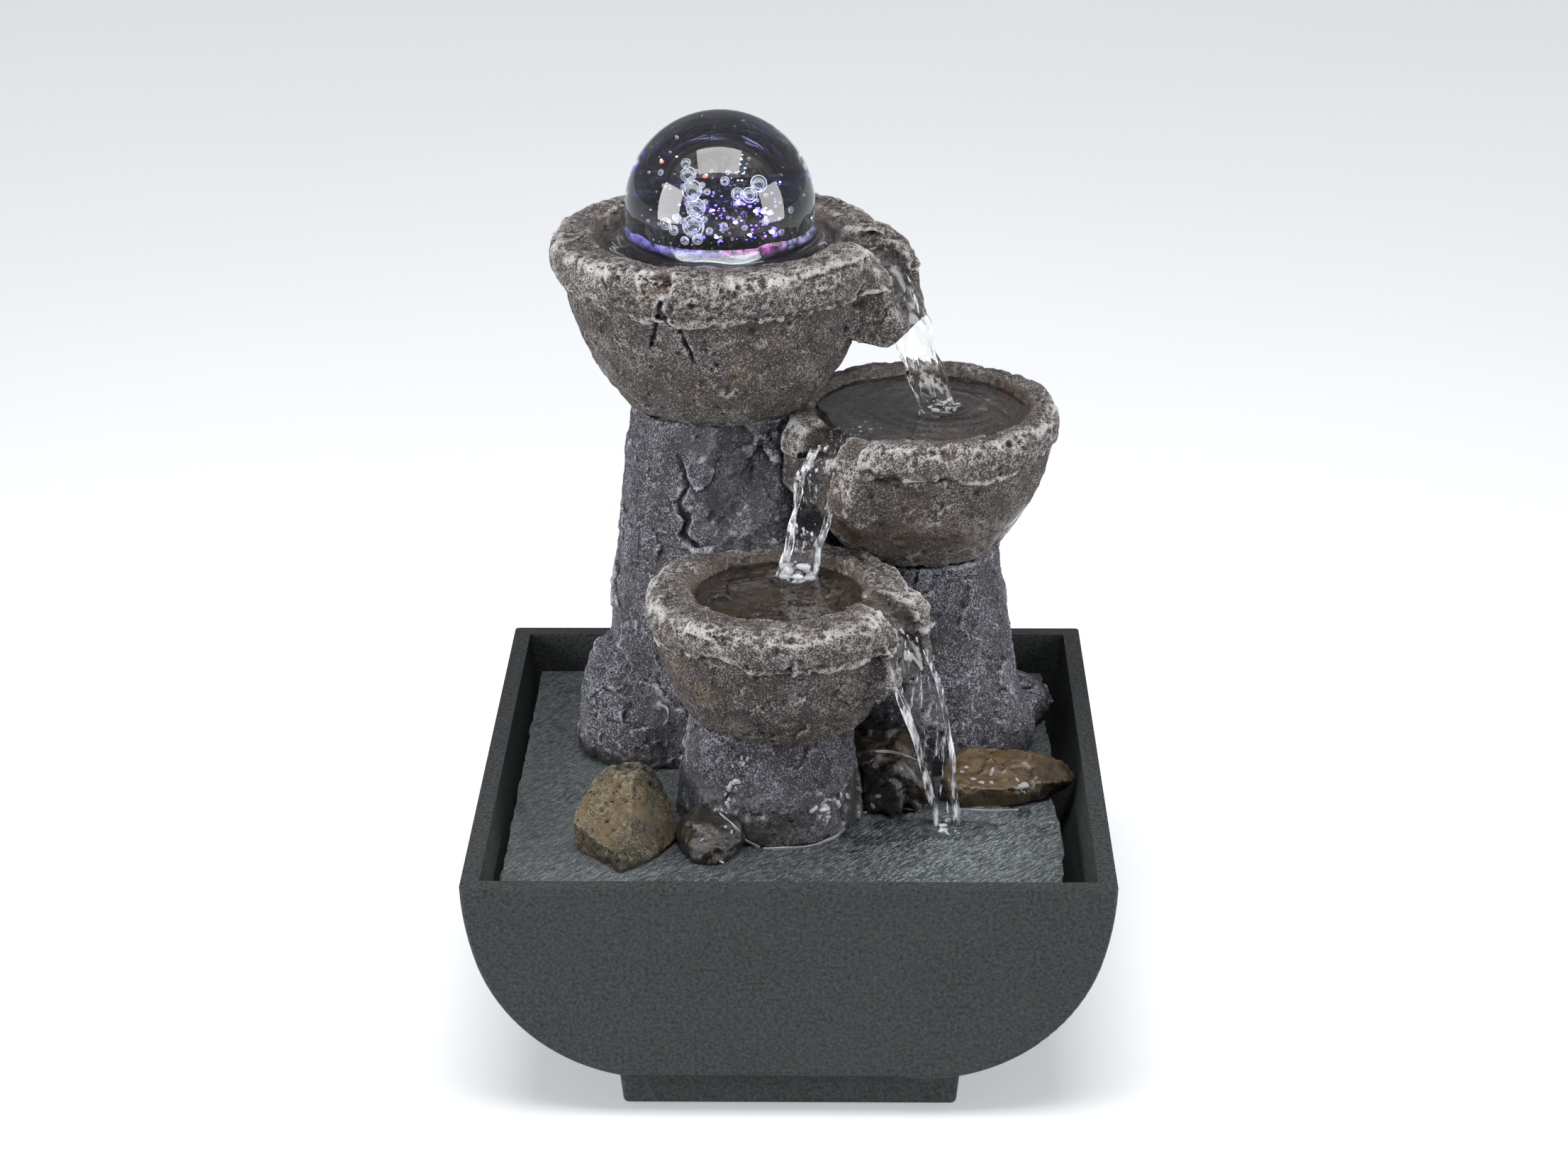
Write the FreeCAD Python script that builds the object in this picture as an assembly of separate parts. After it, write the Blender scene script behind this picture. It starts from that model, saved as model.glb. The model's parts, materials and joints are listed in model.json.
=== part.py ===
import FreeCAD, Part
import math
import os
from FreeCAD import Vector as V

# Tabletop water fountain: a square tub holds the water and a small submersible pump, and a slate
# deck lifts out of it with three cast stone bowls on columns. The pump feeds the top bowl, where a
# glass ball turns on the water over a ring of lamps, and each bowl spills into the next.
#
# Millimetres, +Z up, front is -Y. The origin is at the centre of the base, on the table.

# ---------------------------------------------------------------- driving dimensions: tub
TUB = 160.0                 # width and depth at the rim
RIM_Z = 64.0
WALL = 4.5
SIDE_ARC = (6.5, 65.4, 73.3)     # upper side curve: centre x, centre z, radius
HEEL_ARC = (32.9, 56.7, 45.6)    # lower side curve, tangent to the upper one
FLOOR_Z = 12.0              # underside of the tub's floor, and top of its pedestal
PEDESTAL_HALF = (42.7, 41.5)     # half width at the top and at the bottom
PEDESTAL_DEPTH = 149.0
PEDESTAL_Z = 1.0            # the feet hold the pedestal this far off the table
PEDESTAL_WALL = 3.5
POST = (54.0, 60.0, 5.0)    # deck posts: x, y, radius

# driving dimensions: deck and castings
DECK_Z = (50.0, 54.0)
DECK_X = (-73.0, 69.5)
DECK_Y = (-72.0, 72.4)
BORE_R = 12.0               # passage for the hose and the lamp lead
WATER_AXIS = (-18.5, 35.0)  # hose, ball seat and ball
DECK_TOP = DECK_Z[1]

# driving dimensions: ball, seat and lamps
BALL_R = 24.5
BALL_Z = 201.6
FILM = 0.35                 # water film that carries the ball
BASIN_FLOOR = 170.0
LAMP_PIT = (163.5, 17.0)    # floor height and radius of the pit for the lamp ring
LAMP_COUNT = 4

# driving dimensions: pump, whose motor axis runs along Y through the hose's axis
PUMP_X = WATER_AXIS[0]
PUMP_Z = 31.5
PUMP_W, PUMP_H = 30.0, 23.0
PUMP_Y = (19.0, 30.0, 40.0, 66.0)    # strainer front, chamber front, motor front, motor back
CHAMBER_R = 9.3
WELL_R = 6.0
SHAFT_R = 1.0
RUN = 0.05                  # radial running clearance
SPIGOT_R, SPIGOT_BORE = 4.0, 2.75
SPIGOT_TOP = 52.5
HOSE_R, HOSE_BORE = 5.6, 4.1
PLUG_Y = 44.2               # lamp plug, behind the hose
LEAD_R = 1.25

# driving dimensions: power inlet in the rear wall
INLET_X, INLET_Z = 18.0, 43.0
INLET_BARREL, INLET_FLANGE, INLET_SOCKET = 4.4, 6.2, 2.8

Z_AXIS = V(0, 0, 1)
Y_AXIS = V(0, 1, 0)


# ---------------------------------------------------------------- helpers
def box(x0, x1, y0, y1, z0, z1):
    return Part.makeBox(x1 - x0, y1 - y0, z1 - z0, V(x0, y0, z0))


def rounded_box(x0, x1, y0, y1, z0, z1, r, along=Z_AXIS):
    """A box whose four edges along one axis are rounded."""
    solid = box(x0, x1, y0, y1, z0, z1)
    edges = [e for e in solid.Edges if abs(e.tangentAt(e.FirstParameter).dot(along)) > 0.99]
    return solid.makeFillet(r, edges)


def rod(x, y, z, r, length, along=Z_AXIS):
    return Part.makeCylinder(r, length, V(x, y, z), along)


def tube(x, y, z, r_out, r_in, length, along=Z_AXIS):
    return rod(x, y, z, r_out, length, along).cut(rod(x, y, z, r_in, length, along))


def closed_wire(points):
    return Part.makePolygon([V(*p) for p in points] + [V(*points[0])])


def arc(a, mid, b):
    return Part.Arc(V(*a), V(*mid), V(*b)).toShape()


def line(a, b):
    return Part.LineSegment(V(*a), V(*b)).toShape()


def turned(edges, x, y):
    """Turns an outline drawn in the XZ plane about a vertical axis."""
    solid = Part.Face(Part.Wire(edges)).revolve(V(0, 0, 0), Z_AXIS, 360)
    return solid.translate(V(x, y, 0))


def turned_points(points, x, y):
    edges = Part.Face(closed_wire([(r, 0, z) for r, z in points]))
    return edges.revolve(V(0, 0, 0), Z_AXIS, 360).translate(V(x, y, 0))


def ring_wire(cx, cy, z, rx, ry, turn=0.0, phase=0.0, wobble=0.07, count=14):
    """A closed smooth outline, an ellipse with a gentle irregular wave."""
    pts = []
    c, s = math.cos(math.radians(turn)), math.sin(math.radians(turn))
    for i in range(count):
        a = 2 * math.pi * i / count
        k = 1 + wobble * math.sin(2 * a + phase) + 0.6 * wobble * math.sin(3 * a + 1.7 * phase)
        u, v = rx * k * math.cos(a), ry * k * math.sin(a)
        pts.append(V(cx + u * c - v * s, cy + u * s + v * c, z))
    curve = Part.BSplineCurve()
    curve.interpolate(Points=pts, PeriodicFlag=True)
    return Part.Wire(curve.toShape())


def lump(sections, wobble=0.07):
    """A stone: a loft through outlines (z, cx, cy, rx, ry, turn, phase)."""
    wires = [ring_wire(cx, cy, z, rx, ry, turn, phase, wobble)
             for z, cx, cy, rx, ry, turn, phase in sections]
    return Part.makeLoft(wires, True, False)


def route(points, r):
    """A lead: straight runs joined by arcs as large as the runs allow."""
    pts = [V(*p) for p in points]
    edges, start, radii = [], pts[0], []
    for before, here, after in zip(pts, pts[1:], pts[2:]):
        run_in, run_out = here - before, after - here
        turn = run_in.getAngle(run_out)
        trim = 0.45 * min(run_in.Length, run_out.Length)
        radii.append(round(trim / math.tan(turn / 2), 1))
        run_in.normalize()
        run_out.normalize()
        a, b = here - run_in * trim, here + run_out * trim
        bisector = (run_out - run_in).normalize()
        centre = here + bisector * (trim / math.tan(turn / 2) / math.cos(turn / 2))
        middle = centre - bisector * (trim / math.tan(turn / 2))
        edges += [Part.LineSegment(start, a).toShape(), Part.Arc(a, middle, b).toShape()]
        start = b
    edges.append(Part.LineSegment(start, pts[-1]).toShape())
    path = Part.Wire(edges)
    first = pts[1] - pts[0]
    section = Part.Wire(Part.makeCircle(r, pts[0], first))
    solid = path.makePipeShell([section], True, False)
    print("lead radii", radii, "length", round(path.Length, 1),
          "volume ratio", round(solid.Volume / (path.Length * math.pi * r * r), 4))
    return solid


def largest(shape):
    """The biggest solid of a shape, after a cut has left slivers."""
    return max(shape.Solids, key=lambda s: s.Volume)


# ---------------------------------------------------------------- tub
def tub_outline(inset, top):
    """The tub's U-shaped cross section, moved in by a wall thickness."""
    ux, uz, ur = SIDE_ARC
    hx, hz, hr = HEEL_ARC
    ur, hr = ur - inset, hr - inset
    bottom = FLOOR_Z + inset
    gap = math.hypot(hx - ux, hz - uz)
    joint = (hx + hr * (hx - ux) / gap, hz + hr * (hz - uz) / gap)
    rim_x = ux + math.sqrt(ur ** 2 - (RIM_Z - uz) ** 2)
    end_x = hx + math.sqrt(hr ** 2 - (bottom - hz) ** 2)

    def on(cx, cz, r, a, b):
        """The point of a circle half way between two of its points."""
        mx, mz = (a[0] + b[0]) / 2 - cx, (a[1] + b[1]) / 2 - cz
        k = r / math.hypot(mx, mz)
        return (cx + mx * k, cz + mz * k)

    rim, end = (rim_x, RIM_Z), (end_x, bottom)
    mid_u = on(ux, uz, ur, rim, joint)
    mid_h = on(hx, hz, hr, joint, end)

    def p(q, side):
        return (side * q[0], 0, q[1])

    edges = [arc(p(rim, 1), p(mid_u, 1), p(joint, 1)), arc(p(joint, 1), p(mid_h, 1), p(end, 1)),
             line(p(end, 1), p(end, -1)),
             arc(p(end, -1), p(mid_h, -1), p(joint, -1)), arc(p(joint, -1), p(mid_u, -1), p(rim, -1))]
    if top > RIM_Z:
        edges += [line((-rim_x, 0, RIM_Z), (-rim_x, 0, top)), line((-rim_x, 0, top), (rim_x, 0, top)),
                  line((rim_x, 0, top), (rim_x, 0, RIM_Z))]
    else:
        edges.append(line((-rim_x, 0, RIM_Z), (rim_x, 0, RIM_Z)))
    return Part.Face(Part.Wire(Part.__sortEdges__(edges)))


def tub_block(inset, top):
    half = TUB / 2 - inset
    face = tub_outline(inset, top)
    return face.translate(V(0, -half, 0)).extrude(V(0, 2 * half, 0))


def foot_places():
    return [(sx * 32.0, sy * 65.0) for sx in (-1, 1) for sy in (-1, 1)]


def base_tub():
    outer = tub_block(0.0, RIM_Z)
    ends = [e for e in outer.Edges
            if abs(abs(e.CenterOfMass.y) - TUB / 2) < 0.01 and e.CenterOfMass.z < RIM_Z - 0.5]
    outer = outer.makeFillet(1.2, ends)
    posts = [rod(sx * POST[0], sy * POST[1], FLOOR_Z, POST[2], DECK_Z[0] - FLOOR_Z)
             for sx in (-1, 1) for sy in (-1, 1)]
    tub = outer.cut(tub_block(WALL, RIM_Z + 5))
    for post in posts:
        tub = tub.fuse(post.common(outer))

    top, low = PEDESTAL_HALF
    half = PEDESTAL_DEPTH / 2
    section = closed_wire([(-top, -half, FLOOR_Z + 0.5), (top, -half, FLOOR_Z + 0.5),
                           (low, -half, PEDESTAL_Z), (-low, -half, PEDESTAL_Z)])
    skirt = Part.Face(section).extrude(V(0, PEDESTAL_DEPTH, 0))
    corners = [e for e in skirt.Edges if e.CenterOfMass.z < PEDESTAL_Z + 0.01
               or abs(abs(e.CenterOfMass.x) - (top + low) / 2) < 0.3 and abs(e.CenterOfMass.y) > half - 1]
    skirt = skirt.makeFillet(1.4, corners)
    w = PEDESTAL_WALL
    hollow = box(-low + w, low - w, -half + w, half - w, 0, FLOOR_Z - 0.5)
    skirt = skirt.cut(hollow)
    for x, y in foot_places():
        pad = rod(x, y, PEDESTAL_Z, 7.5, FLOOR_Z - PEDESTAL_Z)
        skirt = skirt.fuse(pad).cut(rod(x, y, PEDESTAL_Z, 6.0, 1.5))
    tub = tub.fuse(skirt)

    tub = tub.cut(rod(INLET_X, TUB / 2 - WALL - 1, INLET_Z, INLET_BARREL + 0.1, WALL + 2, Y_AXIS))
    tub = tub.cut(rod(INLET_X, TUB / 2 - 2.2, INLET_Z, INLET_FLANGE + 0.2, 3, Y_AXIS))
    return tub.removeSplitter()


def feet():
    return Part.makeCompound([rod(x, y, 0, 5.9, PEDESTAL_Z + 1.5) for x, y in foot_places()])


# ---------------------------------------------------------------- power inlet
def inlet_parts():
    back = TUB / 2
    y_socket = back - 9.5
    body = rod(INLET_X, back - 18, INLET_Z, INLET_BARREL, 18, Y_AXIS)
    body = body.fuse(rod(INLET_X, back - 1.5, INLET_Z, INLET_FLANGE, 1.5, Y_AXIS))
    body = body.cut(rod(INLET_X, y_socket, INLET_Z, INLET_SOCKET, 12, Y_AXIS))
    pin_r = 1.05
    body = body.cut(rod(INLET_X, back - 15, INLET_Z, pin_r, 8, Y_AXIS))
    pin = rod(INLET_X, back - 15, INLET_Z, pin_r, 13, Y_AXIS)
    pin = pin.makeFillet(0.5, [e for e in pin.Edges if abs(e.CenterOfMass.y - (back - 2)) < 0.01
                               and e.Curve.TypeId == "Part::GeomCircle"])
    seal = tube(INLET_X, back - 2.2, INLET_Z, INLET_FLANGE, INLET_BARREL, 0.7, Y_AXIS)
    across = 6.0
    hexagon = closed_wire([(INLET_X + across / math.cos(math.pi / 6) * math.cos(math.radians(60 * i)),
                            back - WALL - 3.2,
                            INLET_Z + across / math.cos(math.pi / 6) * math.sin(math.radians(60 * i)))
                           for i in range(6)])
    nut = Part.Face(hexagon).extrude(V(0, 3.2, 0))
    nut = nut.cut(rod(INLET_X, back - WALL - 4, INLET_Z, INLET_BARREL, 6, Y_AXIS))
    return {"power_inlet": body, "inlet_pin": pin, "inlet_seal": seal, "inlet_nut": nut}


# ---------------------------------------------------------------- pump
def pump_box(y0, y1, shrink=0.0):
    w, h = PUMP_W / 2 - shrink, PUMP_H / 2 - shrink
    return rounded_box(PUMP_X - w, PUMP_X + w, y0, y1, PUMP_Z - h, PUMP_Z + h,
                       max(2.5 - shrink, 0.8), Y_AXIS)


def pump_rod(r, y0, y1):
    return rod(PUMP_X, y0, PUMP_Z, r, y1 - y0, Y_AXIS)


def stator_parts():
    leg_in, leg_out, tall = 7.6, 11.2, 5.0
    core = box(PUMP_X - leg_out, PUMP_X + leg_out, 44, 61, PUMP_Z - tall, PUMP_Z + tall)
    core = core.cut(box(PUMP_X - leg_in, PUMP_X + leg_in, 43, 57, PUMP_Z - 9, PUMP_Z + 9))
    coil = rounded_box(PUMP_X - 6.8, PUMP_X + 6.8, 54.6, 63.4, PUMP_Z - 8, PUMP_Z + 8, 2, V(1, 0, 0))
    coil = coil.cut(box(PUMP_X - 8, PUMP_X + 8, 57, 61, PUMP_Z - tall, PUMP_Z + tall))
    return core, coil


def pump_parts():
    y_front, y_chamber, y_motor, y_back = PUMP_Y
    well_end = 53.0
    parts = {}

    housing = pump_box(y_motor, y_back)
    cavity = pump_box(y_motor + 2.2, y_back + 1, 1.8)
    housing = housing.cut(cavity).fuse(pump_rod(WELL_R + 1.2, y_motor, well_end + 1.2))
    housing = housing.cut(pump_rod(WELL_R, y_motor - 1, well_end - 1.5))
    housing = housing.cut(pump_rod(2.0, y_motor, well_end))
    gland_r = 3.0
    housing = housing.cut(rod(PUMP_X + PUMP_W / 2 - 3, 50, 30, gland_r - 0.6, 5, V(1, 0, 0)))
    parts["pump_housing"] = housing.removeSplitter()
    parts["pump_rear_plate"] = pump_box(y_back - 2, y_back, 1.8)
    parts["stator_core"], parts["stator_coil"] = stator_parts()

    chamber = pump_box(y_chamber, y_motor)
    spigot = rod(PUMP_X, WATER_AXIS[1], PUMP_Z + 5, SPIGOT_R, SPIGOT_TOP - PUMP_Z - 5)
    chamber = chamber.fuse(spigot).cut(pump_rod(CHAMBER_R, y_chamber + 1.6, y_motor + 1))
    chamber = chamber.cut(rod(PUMP_X, WATER_AXIS[1], PUMP_Z + 4, SPIGOT_BORE, 40))
    eye = pump_rod(5.0, y_chamber - 1, y_chamber + 2)
    spider = pump_rod(2.6, y_chamber, y_chamber + 1.6)
    for i in range(3):
        spoke = box(PUMP_X - 0.7, PUMP_X + 0.7, y_chamber, y_chamber + 1.6, PUMP_Z, PUMP_Z + 5.4)
        spoke.rotate(V(PUMP_X, 0, PUMP_Z), Y_AXIS, 120 * i)
        spider = spider.fuse(spoke)
    chamber = chamber.cut(eye).fuse(spider).cut(pump_rod(1.8, y_chamber, y_chamber + 3))
    groove = pump_rod(10.9, y_motor - 1.2, y_motor).cut(pump_rod(9.9, y_motor - 2, y_motor + 1))
    parts["pump_chamber"] = chamber.cut(groove).removeSplitter()
    parts["chamber_seal"] = groove

    parts["front_bush"] = pump_rod(1.8, y_chamber, y_chamber + 1.6).cut(
        pump_rod(SHAFT_R, y_chamber - 1, y_chamber + 4))
    parts["rear_bush"] = pump_rod(2.0, well_end - 1.5, well_end).cut(
        pump_rod(SHAFT_R, well_end - 4, well_end + 1))
    parts["pump_shaft"] = pump_rod(SHAFT_R, y_chamber, well_end)

    cap = pump_box(y_front, y_chamber)
    cap = cap.cut(pump_box(y_front + 1.6, y_chamber + 1, 1.6))
    for i in range(-6, 7):
        x = PUMP_X + 2.0 * i
        if abs(i) > 1:
            cap = cap.cut(box(x - 0.55, x + 0.55, y_front - 1, y_front + 2, PUMP_Z - 7, PUMP_Z + 7))
    cap = cap.cut(pump_rod(1.5, y_front - 1, y_front + 2))
    parts["intake_strainer"] = cap.removeSplitter()

    suckers = []
    floor = FLOOR_Z + WALL
    under = PUMP_Z - PUMP_H / 2
    for x in (PUMP_X - 10, PUMP_X + 10):
        for y in (34.0, 61.0):
            suckers.append(turned_points([(0, under), (2.2, under), (2.2, floor + 1.6), (4.6, floor),
                                          (3.6, floor), (0, floor + 1.1)], x, y))
    parts["suction_feet"] = Part.makeCompound(suckers)

    face_x = PUMP_X + PUMP_W / 2
    gland = rod(face_x - 1.8, 50, 30, gland_r - 0.6, 4.0, V(1, 0, 0))
    gland = gland.fuse(Part.makeCone(gland_r, 1.9, 5.5, V(face_x, 50, 30), V(1, 0, 0)))
    parts["lead_gland"] = gland.cut(rod(face_x - 3, 50, 30, LEAD_R, 12, V(1, 0, 0)))
    lead_points = [(face_x - 1.8, 50, 30), (face_x + 14, 50, 30), (31, 46, 29), (43, 32, 28.5),
                   (40, 15, 31), (24, 12, 36), (15, 26, 41), (INLET_X, 44, INLET_Z),
                   (INLET_X, TUB / 2 - 18, INLET_Z)]
    parts["pump_lead"] = route(lead_points, LEAD_R)

    top = PUMP_Z + PUMP_H / 2
    parts["lamp_socket"] = tube(PUMP_X, PLUG_Y, top, 3.3, 2.45, 5.0)
    return parts


def rotor_parts():
    y_chamber, y_motor = PUMP_Y[1], PUMP_Y[2]
    rotor = pump_rod(2.6, y_chamber + 2.4, 51.0).fuse(pump_rod(7.6, y_motor - 2.6, y_motor - 1.6))
    for i in range(6):
        blade = box(PUMP_X - 0.5, PUMP_X + 0.5, y_chamber + 2.6, y_motor - 2.2,
                    PUMP_Z + 2, PUMP_Z + 7.6)
        blade.rotate(V(PUMP_X, 0, PUMP_Z), Y_AXIS, 60 * i + 15)
        rotor = rotor.fuse(blade)
    rotor = rotor.cut(pump_rod(SHAFT_R + RUN, y_chamber, 60))
    magnet = pump_rod(5.2, y_motor + 0.6, 50.6).cut(pump_rod(2.6, y_motor, 60))
    return {"impeller": rotor.removeSplitter(), "rotor_magnet": magnet}


def regulator():
    """A turning shutter in front of the strainer, with a finger tab, on a headed stem."""
    y = PUMP_Y[0]
    disc = pump_rod(10.2, y - 1.5, y - 0.1)
    for i in range(2):
        window = box(PUMP_X + 3.0, PUMP_X + 9.0, y - 3, y + 1, PUMP_Z - 5.5, PUMP_Z + 5.5)
        window.rotate(V(PUMP_X, 0, PUMP_Z), Y_AXIS, 180 * i)
        disc = disc.cut(window.common(pump_rod(9.0, y - 3, y + 1)))
    tab = box(PUMP_X - 1.0, PUMP_X + 1.0, y - 5.0, y - 1.0, PUMP_Z + 3.0, PUMP_Z + 9.5)
    stem = pump_rod(1.5 - RUN, y - 1, y + 1.7).fuse(pump_rod(2.4, y + 1.7, y + 2.6))
    return disc.fuse(tab).fuse(stem).removeSplitter()


# ---------------------------------------------------------------- cast stone
def basin_body(spec):
    """A bowl turned from its outline: neck, belly curve, ledge and thick lip."""
    r, z = spec["rim"]
    lip, ledge, slope = spec["lip"]
    edges = [line((0, 0, spec["neck"][1]), (spec["neck"][0], 0, spec["neck"][1])),
             arc((spec["neck"][0], 0, spec["neck"][1]), (spec["belly"][0], 0, spec["belly"][1]),
                 (r - ledge, 0, z - lip - slope)),
             line((r - ledge, 0, z - lip - slope), (r - 0.4, 0, z - lip)),
             arc((r - 0.4, 0, z - lip), (r, 0, z - lip / 2), (r - 0.8, 0, z - 1.0)),
             line((r - 0.8, 0, z - 1.0), (r - 2.2, 0, z)),
             line((r - 2.2, 0, z), (0, 0, z)),
             line((0, 0, z), (0, 0, spec["neck"][1]))]
    return turned(edges, *spec["axis"])


def basin_hollow(spec):
    """The water space of a bowl: a rounded mouth over a shallow curved floor."""
    z = spec["rim"][1]
    mouth, floor_r, floor_z = spec["hollow"]
    edges = [line((0, 0, floor_z), (floor_r, 0, floor_z)),
             arc((floor_r, 0, floor_z), ((floor_r + 2 * mouth) / 3, 0, (floor_z + z - 2) / 2 - 2),
                 (mouth, 0, z - 2)),
             line((mouth, 0, z - 2), (mouth + 2.0, 0, z + 0.5)),
             line((mouth + 2.0, 0, z + 0.5), (0, 0, z + 0.5)),
             line((0, 0, z + 0.5), (0, 0, floor_z))]
    return turned(edges, *spec["hollow_axis"])


def bend_points(start_s, start_z, r, turn, drop):
    """A path in the spout's own plane: level, an arc down, and a steep run."""
    a = math.radians(turn)
    mid = (start_s + r * math.sin(a / 2), start_z - r * (1 - math.cos(a / 2)))
    end = (start_s + r * math.sin(a), start_z - r * (1 - math.cos(a)))
    tip = (end[0] + drop * math.cos(a), end[1] - drop * math.sin(a))
    return mid, end, tip


def place(shape, spec):
    shape.rotate(V(0, 0, 0), Z_AXIS, spec["spout"]["heading"])
    return shape.translate(V(*spec["axis"], 0))


def spout_side(spec, bend, y):
    """The outline of one side of the spout's block: a bent top over a stepped underside."""
    sp = spec["spout"]
    z, t = spec["rim"][1], sp["thick"]
    mid, end, tip = bend_points(bend[0], z, *bend[1:])
    low = (tip[0] - 0.4 * t, tip[1] - 0.35 * t)
    root = (sp["root"], tip[1] - 0.1 * t)
    corners = [(0, z - 6), root, low, tip, end]
    edges = [line((0, y, z), (bend[0], y, z)),
             arc((bend[0], y, z), (mid[0], y, mid[1]), (end[0], y, end[1]))]
    for (s0, z0), (s1, z1) in zip(reversed(corners), list(reversed(corners))[1:]):
        edges.append(line((s0, y, z0), (s1, y, z1)))
    edges.append(line((0, y, z - 6), (0, y, z)))
    return Part.Wire(edges)


def open_side(spec, bend, y):
    """The outline of the space over one side of the spout, where the bowl's lip is cut away."""
    z = spec["rim"][1]
    mid, end, tip = bend_points(bend[0], z, *bend[1:])
    far, high = bend[0] + 40, z + 8
    corners = [end, tip, (far, tip[1]), (far, high), (bend[0], high), (bend[0], z)]
    edges = [arc((bend[0], y, z), (mid[0], y, mid[1]), (end[0], y, end[1]))]
    for (s0, z0), (s1, z1) in zip(corners, corners[1:]):
        edges.append(line((s0, y, z0), (s1, y, z1)))
    return Part.Wire(edges)


def spout_solid(spec, side):
    """A solid lofted between the spout's two sides and cut to its tapering plan."""
    sp = spec["spout"]
    z = spec["rim"][1]
    (left0, left1), (right0, right1) = sp["left"], sp["right"]
    right, left = side(spec, sp["bend_right"], -right1), side(spec, sp["bend_left"], left1)
    block = Part.makeLoft([right, left], True, True)
    block = block.fuse(Part.Face(right).extrude(V(0, -20, 0)))
    block = block.fuse(Part.Face(left).extrude(V(0, 20, 0)))
    s_in, s_out = sp["root"] - 14, sp["bend_left"][0] + 30
    plan = closed_wire([(s_in, -right0, z - 60), (s_out, -right1, z - 60),
                        (s_out, left1, z - 60), (s_in, left0, z - 60)])
    wedge = Part.Face(plan).extrude(V(0, 0, 120))
    return place(block.common(wedge), spec)


def spout_channel(spec):
    """The groove that the water runs down, a round tool swept along the bend."""
    sp = spec["spout"]
    r, z = sp["groove_r"], spec["rim"][1] - sp["sill"]
    near, far = sp["bend_right"], sp["bend_left"]
    s0, bend_r, turn, drop = [(m + n) / 2 for m, n in zip(near, far)]
    mid, end, tip = bend_points(s0 - 1, z, bend_r, turn, drop + 25)
    s0 -= 1
    start = sp["groove_from"]
    path = Part.Wire([line((start, 0, z), (s0, 0, z)),
                      arc((s0, 0, z), (mid[0], 0, mid[1]), (end[0], 0, end[1])),
                      line((end[0], 0, end[1]), (tip[0], 0, tip[1]))])
    circle = Part.Wire(Part.makeCircle(r, V(start, 0, z), V(1, 0, 0)))
    groove = path.makePipeShell([circle], True, False)
    return place(groove, spec)


def bowl(spec, neighbours=()):
    solid = basin_body(spec).cut(spout_solid(spec, open_side)).fuse(spout_solid(spec, spout_side))
    solid = solid.cut(basin_hollow(spec)).cut(spout_channel(spec))
    for other in neighbours:
        solid = solid.cut(other)
    return solid


def column(x, y, outline):
    """A column turned from (radius, height) pairs, with smooth sides."""
    pts = [V(r, 0, z) for r, z in outline]
    side = Part.BSplineCurve()
    side.interpolate(pts)
    z0, z1 = outline[0][1], outline[-1][1]
    edges = [line((0, 0, z0), (outline[0][0], 0, z0)), side.toShape(),
             line((outline[-1][0], 0, z1), (0, 0, z1)), line((0, 0, z1), (0, 0, z0))]
    return turned(edges, x, y)


# Each bend is (where the level top ends, bend radius, turn in degrees, length of the steep run).
UPPER = {"axis": (-19.2, 35.8), "rim": (43.0, 194.7), "lip": (8.6, 3.8, 5.6), "neck": (23.6, 149.4),
         "belly": (34.2, 164.4), "hollow": (31.5, 22.0, BASIN_FLOOR), "hollow_axis": (-19.0, 35.4),
         "spout": {"heading": -7.5, "bend_left": (39.5, 11.0, 78.0, 15.0),
                   "bend_right": (31.5, 14.0, 66.0, 15.0), "thick": 13.0, "root": 32.5,
                   "left": (15.0, 8.5), "right": (15.5, 8.5), "groove_r": 6.0, "sill": 1.5,
                   "groove_from": 26.0}}
MIDDLE = {"axis": (33.5, 28.0), "rim": (35.6, 150.3), "lip": (7.8, 2.2, 4.4), "neck": (19.6, 111.5),
          "belly": (27.4, 122.2), "hollow": (28.0, 14.0, 137.0), "hollow_axis": (33.5, 28.0),
          "spout": {"heading": 218.0, "bend_left": (20.5, 14.0, 76.0, 9.0),
                    "bend_right": (31.0, 5.0, 88.0, 13.0), "thick": 12.0, "root": 24.0,
                    "left": (20.0, 10.0), "right": (16.0, 10.5), "groove_r": 6.0, "sill": 1.5,
                    "groove_from": 16.0}}
LOWER = {"axis": (-3.2, -14.0), "rim": (33.4, 116.0), "lip": (7.8, 2.2, 4.2), "neck": (22.5, 82.0),
         "belly": (28.2, 92.6), "hollow": (22.0, 12.0, 105.5), "hollow_axis": (-3.2, -13.6),
         "spout": {"heading": -18.0, "bend_left": (30.0, 7.0, 84.0, 13.0),
                   "bend_right": (22.5, 10.0, 76.0, 12.5), "thick": 12.0, "root": 25.0,
                   "left": (13.0, 7.5), "right": (14.0, 8.5), "groove_r": 5.2, "sill": 1.5,
                   "groove_from": 14.0}}


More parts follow.
